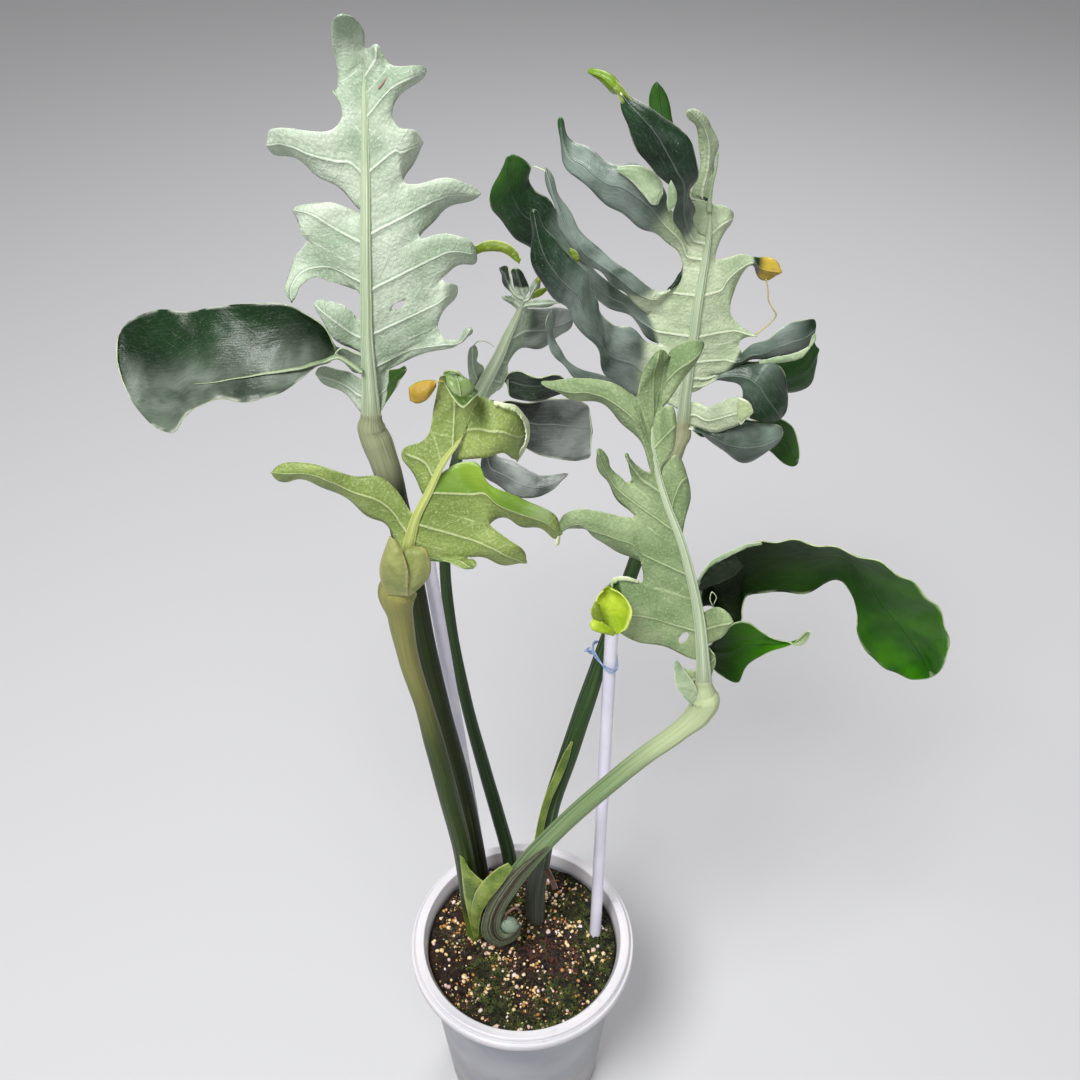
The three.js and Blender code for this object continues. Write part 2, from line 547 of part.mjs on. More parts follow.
// A closed skin over rings of points, all of one count, each ring anticlockwise seen from the end
// that the rings run to.
function loftGeometry(rings) {
  const sides = rings[0].length;
  const faces = [];
  for (let ring = 0; ring + 1 < rings.length; ring += 1) {
    for (let side = 0; side < sides; side += 1) {
      const a = ring * sides + side;
      const b = ring * sides + ((side + 1) % sides);
      faces.push([a, b, b + sides], [a, b + sides, a + sides]);
    }
  }
  const last = (rings.length - 1) * sides;
  for (let side = 1; side + 1 < sides; side += 1) {
    faces.push([0, side + 1, side], [last, last + side, last + side + 1]);
  }
  return geometryFrom(rings.flat(), faces);
}

// An oval ring round a point of a stalk. Width lies across the view and thickness along it.
function ovalRing(centre, along, front, width, thickness, sides) {
  const across = front.clone().cross(along).normalize();
  const outward = along.clone().cross(across).normalize();
  return Array.from({ length: sides }, (_, side) => {
    const turn = (2 * Math.PI * side) / sides;
    return centre.clone()
      .addScaledVector(across, (Math.cos(turn) * width) / 2)
      .addScaledVector(outward, (Math.sin(turn) * thickness) / 2);
  });
}

// ---- blades --------------------------------------------------------------------------------

const alongPath = (a, b, share) => a + (b - a) * share;

class Blade {
  constructor(leaf) {
    this.leaf = leaf;
    this.foot = seenAtDepth(...leaf.at);
    const tilt = THREE.MathUtils.degToRad(leaf.tilt);
    this.up = new THREE.Vector3(0, Math.sin(tilt), Math.cos(tilt));
    this.front = new THREE.Vector3(0, -Math.cos(tilt), Math.sin(tilt));
    this.turn = Math.PI / 2 - tilt;
    this.tipHeight = leaf.midrib.at(-1)[1];
  }

  // The place in the blade's own frame: x across, y up the blade, z out of its silver side.
  place(x, y, lift) {
    const height = lift * RELIEF;
    const plane = this.foot.clone().addScaledVector(this.front, height);
    const offset = seenOnPlane(x, y, plane, this.front).sub(this.foot);
    return new THREE.Vector3(offset.x, offset.dot(this.up), height);
  }

  // The midrib where it crosses a height of the sheet, shifted a little aside to leave the slit that
  // the rib fills. The slit closes at the tip.
  midribAt(y, aside) {
    const stations = this.leaf.midrib;
    const next = Math.max(1, stations.findIndex((station) => station[1] <= y));
    const [x0, y0, z0] = stations[next - 1];
    const [x1, y1, z1] = stations[next];
    const share = (y0 - y) / (y0 - y1);
    const point = this.place(alongPath(x0, x1, share), y, alongPath(z0, z1, share));
    point.x += y > this.tipHeight ? aside : 0;
    return point;
  }

  // The lobe's grid of points: midrib, web, throat, rows and tip, each a row of columns.
  lobeGrid([side, from, to, bulge, tipLength, rows]) {
    const count = BLADE.columns;
    const aside = { L: -BLADE.slit, R: BLADE.slit, T: 0 }[side];
    const shares = Array.from({ length: count + 1 }, (_, column) => column / count);
    const arched = ([x0, y0, x1, y1, z0, z1], arch) => {
      const low = this.place(x0, y0, z0);
      const high = this.place(x1, y1, z1);
      return shares.map((share) => {
        const point = low.clone().lerp(high, share);
        point.z += arch * 4 * share * (1 - share);
        return point;
      });
    };
    const root = shares.map((share) => this.midribAt(alongPath(from, to, share), aside));
    const body = rows.map((row, index) => arched(row, (bulge * Math.min(index + 1, 3)) / 3));
    const web = shares.map((_, column) => root[column].clone().lerp(body[0][column], 0.5));
    const middle = (row) => row[0].clone().add(row.at(-1)).multiplyScalar(0.5);
    const onward = middle(body.at(-1)).sub(middle(body.at(-2))).normalize();
    const tip = middle(body.at(-1)).addScaledVector(onward, tipLength);
    tip.z += bulge / 3;
    return [root, web, ...body, shares.map(() => tip)];
  }

  // The blade's middle surface as welded points and faces that look out of the silver side.
  sheet() {
    const points = [];
    const known = new Map();
    const weld = (point) => {
      const key = point.toArray().map((value) => Math.round(value * 200)).join();
      if (!known.has(key)) {
        known.set(key, points.length);
        points.push(point);
      }
      return known.get(key);
    };
    const faces = [];
    for (const lobe of this.leaf.lobes) {
      const grid = this.lobeGrid(lobe).map((row) => row.map(weld));
      for (let row = 0; row + 1 < grid.length; row += 1) {
        for (let column = 0; column + 1 < grid[row].length; column += 1) {
          const [a, b] = [grid[row][column], grid[row + 1][column]];
          const [c, d] = [grid[row + 1][column + 1], grid[row][column + 1]];
          const pair = lobe[0] === "R" ? [[a, b, c], [a, c, d]] : [[a, c, b], [a, d, c]];
          faces.push(...pair.filter((face) => new Set(face).size === 3));
        }
      }
    }
    return { points, faces };
  }

  // Midrib, tapered, a little proud of the silver side, and running on into the end lobe.
  rib() {
    const stations = this.leaf.midrib.map(([x, y, lift]) => this.place(x, y, lift));
    const widths = this.leaf.midrib.map((station) => station[3]);
    const end = stations.at(-1).clone().sub(stations.at(-2)).setLength(RIB.overrun).add(stations.at(-1));
    stations.push(end);
    widths.push(widths.at(-1) * 0.8);
    const front = new THREE.Vector3(0, 0, 1);
    const rings = stations.map((station, index) => {
      const before = stations[Math.max(0, index - 1)];
      const after = stations[Math.min(stations.length - 1, index + 1)];
      const along = after.clone().sub(before).normalize();
      const width = widths[index];
      const thickness = Math.max(width * RIB.depth, BLADE.thickness * 1.5);
      return ovalRing(station, along, front, width, thickness, RIB.sides);
    });
    return solidOf(loftGeometry(rings));
  }

  solid() {
    const { points, faces } = this.sheet();
    const parts = patches(faces).map((patch) => solidOf(thickened(points, patch, BLADE.thickness)));
    const whole = joined([this.rib(), ...parts]);
    const holes = this.leaf.holes.map(([x, y, length, width, angle]) => {
      const centre = this.place(x, y, 0);
      const cutter = new THREE.CylinderGeometry(1, 1, 60, 16);
      cutter.rotateX(Math.PI / 2).scale(length, width, 1);
      cutter.rotateZ(THREE.MathUtils.degToRad(angle)).translate(centre.x, centre.y, 0);
      return solidOf(cutter);
    });
    return carved(whole, holes);
  }
}

// Faces sorted into patches that hang together by their edges.
function patches(faces) {
  const byEdge = new Map();
  faces.forEach((face, index) => {
    face.forEach((corner, side) => {
      const key = [corner, face[(side + 1) % 3]].sort((p, q) => p - q).join();
      byEdge.set(key, [...(byEdge.get(key) ?? []), index]);
    });
  });
  const neighbours = faces.map(() => []);
  for (const group of byEdge.values()) {
    group.forEach((index) => neighbours[index].push(...group));
  }
  const seen = new Set();
  const result = [];
  faces.forEach((_, start) => {
    if (seen.has(start)) return;
    const patch = [];
    const queue = [start];
    seen.add(start);
    while (queue.length > 0) {
      const index = queue.pop();
      patch.push(faces[index]);
      neighbours[index].filter((next) => !seen.has(next)).forEach((next) => {
        seen.add(next);
        queue.push(next);
      });
    }
    result.push(patch);
  });
  return result;
}

// A patch given its thickness: both faces are split into triangles alike, with a wall at the rim.
function thickened(points, faces, thickness) {
  const used = [...new Set(faces.flat())];
  const slot = new Map(used.map((corner, index) => [corner, index]));
  const normals = used.map(() => new THREE.Vector3());
  const local = faces.map((face) => face.map((corner) => slot.get(corner)));
  local.forEach(([a, b, c], index) => {
    const [p, q, r] = faces[index].map((corner) => points[corner]);
    const normal = q.clone().sub(p).cross(r.clone().sub(p));
    [a, b, c].forEach((corner) => normals[corner].add(normal));
  });
  const shifted = (sign) => used.map((corner, index) =>
    points[corner].clone().addScaledVector(normals[index].clone().normalize(), (sign * thickness) / 2));
  const count = used.length;
  const directed = new Set(local.flatMap(([a, b, c]) => [`${a},${b}`, `${b},${c}`, `${c},${a}`]));
  const walls = [];
  for (const edge of directed) {
    const [a, b] = edge.split(",").map(Number);
    if (!directed.has(`${b},${a}`)) walls.push([b, a, a + count], [b, a + count, b + count]);
  }
  const backs = local.map(([a, b, c]) => [a + count, c + count, b + count]);
  return geometryFrom([...shifted(1), ...shifted(-1)], [...local, ...backs, ...walls]);
}

// ---- petioles, stem and stakes -------------------------------------------------------------

// A petiole's centre line and its [width, thickness] at each station. It ends just below the foot of
// its blade's rib and starts under the soil.
function petioleLine(petiole, blade) {
  const rib = blade.leaf.midrib;
  const footWay = blade.place(rib[1][0], rib[1][1], rib[1][2]).normalize();
  const way = new THREE.Vector3(footWay.x, 0, 0)
    .addScaledVector(blade.up, footWay.y)
    .addScaledVector(blade.front, footWay.z);
  const points = petiole.path.map(([x, y, depth]) => seenAtDepth(x, y, depth));
  const sizes = petiole.path.map((station) => station.slice(3));
  points.unshift(new THREE.Vector3(points[0].x, points[0].y + 2, SOIL.top - PETIOLE_ROOT));
  sizes.unshift(sizes[0].map((size) => size * 0.8));
  points.push(...[SEAT_GAP + 2, SEAT_GAP].map((below) => blade.foot.clone().addScaledVector(way, -below)));
  sizes.push([rib[0][3] + 2, rib[0][3]], [rib[0][3] + 0.6, rib[0][3] * 0.7]);
  return { curve: new THREE.CatmullRomCurve3(points), sizes };
}

// Spare fattens a stalk, to cut the room that it needs out of a neighbour.
function stalkSolid({ curve, sizes }, front, sides, spare = 0) {
  const last = sizes.length - 1;
  const rings = Array.from({ length: last * 2 + 1 }, (_, step) => {
    const share = step / (last * 2);
    const index = Math.min(Math.floor(step / 2), last - 1);
    const between = share * last - index;
    const [width, thickness] = [0, 1].map((axis) =>
      alongPath(sizes[index][axis], sizes[index + 1][axis], between) + 2 * spare);
    return ovalRing(curve.getPoint(share), curve.getTangent(share), front, width, thickness, sides);
  });
  return solidOf(loftGeometry(rings));
}

function stakeSolid(stake, spare = 0) {
  const foot = seenAtDepth(...stake.foot);
  const top = seenAtDepth(...stake.top);
  const way = top.clone().sub(foot).normalize();
  foot.addScaledVector(way, -(foot.z - STAKE_FOOT_HEIGHT) / way.z);
  const radius = STAKE_RADIUS + spare;
  const profile = [[0, 0], [radius * 0.55, 0], [radius, 3]];
  const length = foot.distanceTo(top);
  profile.push([radius, length - 2.6], [radius * 0.75, length - 0.9], [0, length]);
  const geometry = new THREE.LatheGeometry(profile.map(([r, h]) => new THREE.Vector2(r, h)), 12);
  geometry.applyQuaternion(new THREE.Quaternion().setFromUnitVectors(new THREE.Vector3(0, 1, 0), way));
  geometry.translate(foot.x, foot.y, foot.z);
  return solidOf(geometry);
}

// The creeping stem under the soil, which the petioles spring from.
const STEM_PATH = [
  [-40, 8, 118, 20], [-28, 9, 130, 24], [-12, 12, 137, 26], [6, 24, 138, 25], [20, 36, 128, 20],
];

function stemSolid(spare = 0) {
  const curve = new THREE.CatmullRomCurve3(STEM_PATH.map(([x, y, z]) => new THREE.Vector3(x, y, z)));
  const sizes = STEM_PATH.map((station) => [station[3], station[3]]);
  return stalkSolid({ curve, sizes }, new THREE.Vector3(0, 0, 1), 10, spare);
}

// ---- the wire tie --------------------------------------------------------------------------

const TIE = {
  sheetHeight: 664,
  lean: 0.3,
  stakeRoom: 1.1,
  petioleRadius: 5,
  petioleRoom: 1.5,
  turnPoints: 7,
};

// A wire loop round a stake and the petiole behind it, leaning a little to the right.
function tieSolid(stake, line) {
  const share = (stake.foot[1] - TIE.sheetHeight) / (stake.foot[1] - stake.top[1]);
  const stakeAt = seenAtDepth(...stake.foot.map((value, axis) => alongPath(value, stake.top[axis], share)));
  const nearby = line.curve.getPoints(200);
  const petioleAt = nearby.reduce((best, point) =>
    (Math.abs(point.z - stakeAt.z) < Math.abs(best.z - stakeAt.z) ? point : best));
  const away = Math.atan2(stakeAt.y - petioleAt.y, stakeAt.x - petioleAt.x);
  const arc = (centre, radius, facing) => Array.from({ length: TIE.turnPoints }, (_, step) => {
    const angle = facing + Math.PI * (step / (TIE.turnPoints - 1) - 0.5);
    const [x, y] = [centre.x + radius * Math.cos(angle), centre.y + radius * Math.sin(angle)];
    return new THREE.Vector3(x, y, stakeAt.z - TIE.lean * (x - stakeAt.x));
  });
  const loop = [
    ...arc(stakeAt, STAKE_RADIUS + TIE.stakeRoom, away),
    ...arc(petioleAt, TIE.petioleRadius + TIE.petioleRoom, away + Math.PI),
  ];
  return solidOf(new THREE.TubeGeometry(new THREE.CatmullRomCurve3(loop, true), 36, WIRE_RADIUS, 6, true));
}

// ---- pot and soil --------------------------------------------------------------------------

// The wall's inner radius at a height.
function innerRadius(height) {
  const share = height / (POT.height - POT.skirtDepth);
  return alongPath(POT.footRadius, POT.shoulderRadius, share) - POT.wall;
}

function potSolid() {
  const { height, rimRadius, lipInnerRadius, skirtWall, skirtDepth, lipThickness, footRadius } = POT;
  const skirtInner = rimRadius - skirtWall;
  const shoulder = POT.shoulderRadius;
  const profile = [
    [0, 0], [footRadius - 1, 0], [footRadius, 1], [shoulder, height - skirtDepth], [shoulder + 0.6, height - 4],
    [skirtInner - 1, height - lipThickness], [skirtInner, height - lipThickness - 1],
    [skirtInner, height - skirtDepth], [rimRadius, height - skirtDepth], [rimRadius, height - 1.2],
    [rimRadius - 1.2, height], [lipInnerRadius + 1, height], [lipInnerRadius, height - 1],
    [shoulder - POT.wall, height - 5], [innerRadius(height - skirtDepth), height - skirtDepth],
    [innerRadius(POT.floor), POT.floor], [0, POT.floor],
  ];
  const body = new THREE.LatheGeometry(profile.map(([r, h]) => new THREE.Vector2(r, h)), POT.sides);
  body.rotateX(Math.PI / 2);
  const holes = Array.from({ length: POT.drainHoles }, (_, index) => {
    const angle = (2 * Math.PI * index) / POT.drainHoles;
    const hole = new THREE.CylinderGeometry(POT.drainRadius, POT.drainRadius, 12, 12);
    hole.rotateX(Math.PI / 2);
    hole.translate(POT.drainCircle * Math.cos(angle), POT.drainCircle * Math.sin(angle), POT.floor / 2);
    return solidOf(hole);
  });
  return carved(solidOf(body), holes);
}

// A repeatable run of numbers between 0 and 1.
function seededRandom(seed) {
  let state = seed;
  return () => {
    state = (state * 1664525 + 1013904223) % 4294967296;
    return state / 4294967296;
  };
}

// The height of the soil's crumbly top.
function soilHeight(x, y) {
  const edge = innerRadius(SOIL.top) - GAP;
  const dome = SOIL.dome * (1 - (x * x + y * y) / (edge * edge));
  return SOIL.top + dome + 0.7 * Math.sin(x * 0.31 + 1) * Math.sin(y * 0.27 + 2);
}

function soilSolid(cutters) {
  const floorTop = POT.floor + GAP;
  const edge = innerRadius(SOIL.top) - GAP;
  const profile = [[0, floorTop], [innerRadius(floorTop) - GAP - 0.2, floorTop]];
  for (let ring = 0; ring <= SOIL.rings; ring += 1) {
    profile.push([edge * (1 - ring / SOIL.rings), SOIL.top]);
  }
  const body = new THREE.LatheGeometry(profile.map(([r, h]) => new THREE.Vector2(r, h)), SOIL.sides);
  body.rotateX(Math.PI / 2);
  const place = body.attributes.position;
  for (let index = 0; index < place.count; index += 1) {
    if (place.getZ(index) > SOIL.top - 1) {
      place.setZ(index, soilHeight(place.getX(index), place.getY(index)));
    }
  }
  const random = seededRandom(SOIL.seed);
  const grains = Array.from({ length: SOIL.grains }, () => {
    const reach = (edge - SOIL.grainRadius - 1) * Math.sqrt(random());
    const angle = 2 * Math.PI * random();
    const [x, y] = [reach * Math.cos(angle), reach * Math.sin(angle)];
    const radius = SOIL.grainRadius * (0.7 + 0.5 * random());
    const grain = new THREE.OctahedronGeometry(radius, 0).rotateX(3 * random()).rotateZ(3 * random());
    return solidOf(grain.translate(x, y, soilHeight(x, y) + radius * 0.15));
  });
  return carved(joined([solidOf(body), ...grains]), cutters);
}

// ---- the plant in its pot ------------------------------------------------------------------

const plant = new THREE.Group();

function addMesh(parent, name, solid, colour, roughness, metalness = 0) {
  const material = new THREE.MeshStandardMaterial({ color: COLOURS[colour], roughness, metalness });
  const mesh = new THREE.Mesh(geometryOf(solid), material);
  mesh.name = name;
  parent.add(mesh);
}

const blades = new Map(LEAVES.map((leaf) => [leaf.name, new Blade(leaf)]));
for (const blade of blades.values()) {
  const holder = new THREE.Group();
  holder.position.copy(blade.foot);
  holder.rotation.x = blade.turn;
  addMesh(holder, blade.leaf.name, blade.solid(), blade.leaf.colour, 0.45);
  plant.add(holder);
}

// Where petioles meet at the crown, each makes room for those in front of it, listed first here.
const CROWN_ORDER = ["petiole_front_right", "petiole_young", "petiole_upper_right", "petiole_upper_left",
  "petiole_middle_back"];
const crown = CROWN_ORDER.map((name) => {
  const petiole = PETIOLES.find((entry) => entry.name === name);
  return { ...petiole, line: petioleLine(petiole, blades.get(petiole.leaf)) };
});
const BACKWARD = AHEAD.clone().negate();
const petioleRoom = crown.map((petiole) => stalkSolid(petiole.line, BACKWARD, PETIOLE_SIDES, GAP));
crown.forEach((petiole, index) => {
  const body = stalkSolid(petiole.line, BACKWARD, PETIOLE_SIDES);
  addMesh(plant, petiole.name, carved(body, petioleRoom.slice(0, index)), petiole.colour, 0.5);
});

const stakeRoom = STAKES.map((stake) => stakeSolid(stake, GAP));
STAKES.forEach((stake) => addMesh(plant, stake.name, stakeSolid(stake), "stake", 0.4));
addMesh(plant, "stem", carved(stemSolid(), [...petioleRoom, ...stakeRoom]), "crown", 0.7);
const tied = crown.find((petiole) => petiole.name === "petiole_upper_right");
addMesh(plant, "wire_tie", tieSolid(STAKES[1], tied.line), "wire", 0.5);
addMesh(plant, "soil", soilSolid([...petioleRoom, ...stakeRoom, stemSolid(GAP)]), "soil", 0.95);
addMesh(plant, "pot", potSolid(), "pot", 0.35);

export default plant;
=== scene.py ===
# A potted monstera with five deeply cut, silver-backed leaves, two stakes and a wire tie.
# Sizes are in millimetres and meshes in metres, +Z up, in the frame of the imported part.
import math
import random

import bmesh
import bpy
from mathutils import Matrix, Vector, noise


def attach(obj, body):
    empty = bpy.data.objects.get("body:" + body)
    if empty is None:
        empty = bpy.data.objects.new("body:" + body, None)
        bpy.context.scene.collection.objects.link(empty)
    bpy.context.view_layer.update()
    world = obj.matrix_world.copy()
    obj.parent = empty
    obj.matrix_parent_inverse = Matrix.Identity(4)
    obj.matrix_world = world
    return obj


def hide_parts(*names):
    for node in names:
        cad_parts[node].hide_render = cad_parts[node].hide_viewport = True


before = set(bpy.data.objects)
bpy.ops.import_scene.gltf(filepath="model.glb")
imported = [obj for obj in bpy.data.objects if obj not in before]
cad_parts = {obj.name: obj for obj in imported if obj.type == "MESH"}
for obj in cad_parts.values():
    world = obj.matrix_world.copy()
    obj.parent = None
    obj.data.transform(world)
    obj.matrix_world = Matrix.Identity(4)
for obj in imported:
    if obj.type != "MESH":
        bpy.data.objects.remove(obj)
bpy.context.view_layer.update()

MM = 0.001
SAME_SPOT = 1e-6  # how close points of one tube or turned shape are joined, in metres
SAME_SEAM = 2e-5  # how close the points of neighbouring lobes are joined, in metres

# The plant is laid out on a flat sheet, x to the right and y down, and an eye looks at it from above.
# A place on the sheet is a line of sight, and a depth or a lift makes it a point.
SHEET = 1080  # width and height of the sheet
FOCAL = 1200  # distance of the sheet from the eye, in the sheet's units
EYE = Vector((12, -424.6, 903.5))
PITCH = math.radians(41.88)  # how far the eye looks down
AHEAD = Vector((0, math.cos(PITCH), -math.sin(PITCH)))
OVERHEAD = Vector((0, math.sin(PITCH), math.cos(PITCH)))
RELIEF = 1.4  # how much deeper than drawn the blades wave

BLADE = {
    "thickness": 0.55, "spacing": 2.2, "web_rows": 7, "cap_rows": 4, "fewest_pairs": 3, "most_pairs": 11,
    "crowding": 1.15, "rim_rounds": 3, "inner_rounds": 4,
}
SKIN = {  # how the skin of a blade rises and sinks
    "vein": 0.3, "vein_width": 1.3, "furrow": 0.35, "furrow_aside": 3.4, "furrow_width": 2,
    "pucker": 0.5, "wave": 0.9, "wave_length": 21,
}
RIB = {"width": 0.85, "taper": 0.65, "flatness": 0.42, "sides": 48, "rows": 90}
SCRAP = {"spacing": 0.9, "ripple": 0.5, "tear": 0.8}
PETIOLE = {"buried": 12, "sides": 28, "rows": 150}
STAKE = {"radius": 3.8, "foot_height": 60, "rounding": 3, "rings": 30, "sides": 32}
TIE = {
    "height": 666, "wire": 0.55, "turns": 2, "pitch": 1.6, "stake_reach": 4.6, "petiole_reach": 6.2,
    "slope": 0.3, "sag": 0.9, "twist": 0.8, "twist_steps": 6,
}
KNUCKLE = {"at": (510, 925, -9), "radius": 6, "stretch": (0.95, 0.8, 1.1), "lean": -35}
KNUCKLE_SEAM = [(506, 919, -14), (508, 912, -15), (514, 908, -14), (521, 912, -11)]
POT = {
    "height": 165, "rim": 75, "lip_inner": 66, "lip": 2, "skirt_depth": 10, "skirt_wall": 1.8,
    "shoulder": 66, "foot": 55, "wall": 1.8, "floor": 2.4, "bend": 1, "lip_dip": 0.25,
    "ring_step": 2.6, "ring_drop": 3.8, "ring_bend": 1.5,  # the second ring on the rim
    "drain_holes": 6, "drain_radius": 3.5, "drain_circle": 32,
}
SOIL = {"top": 152, "dome": 2.5, "clearance": 0.3, "rings": 56, "side": 12, "floor": 20}

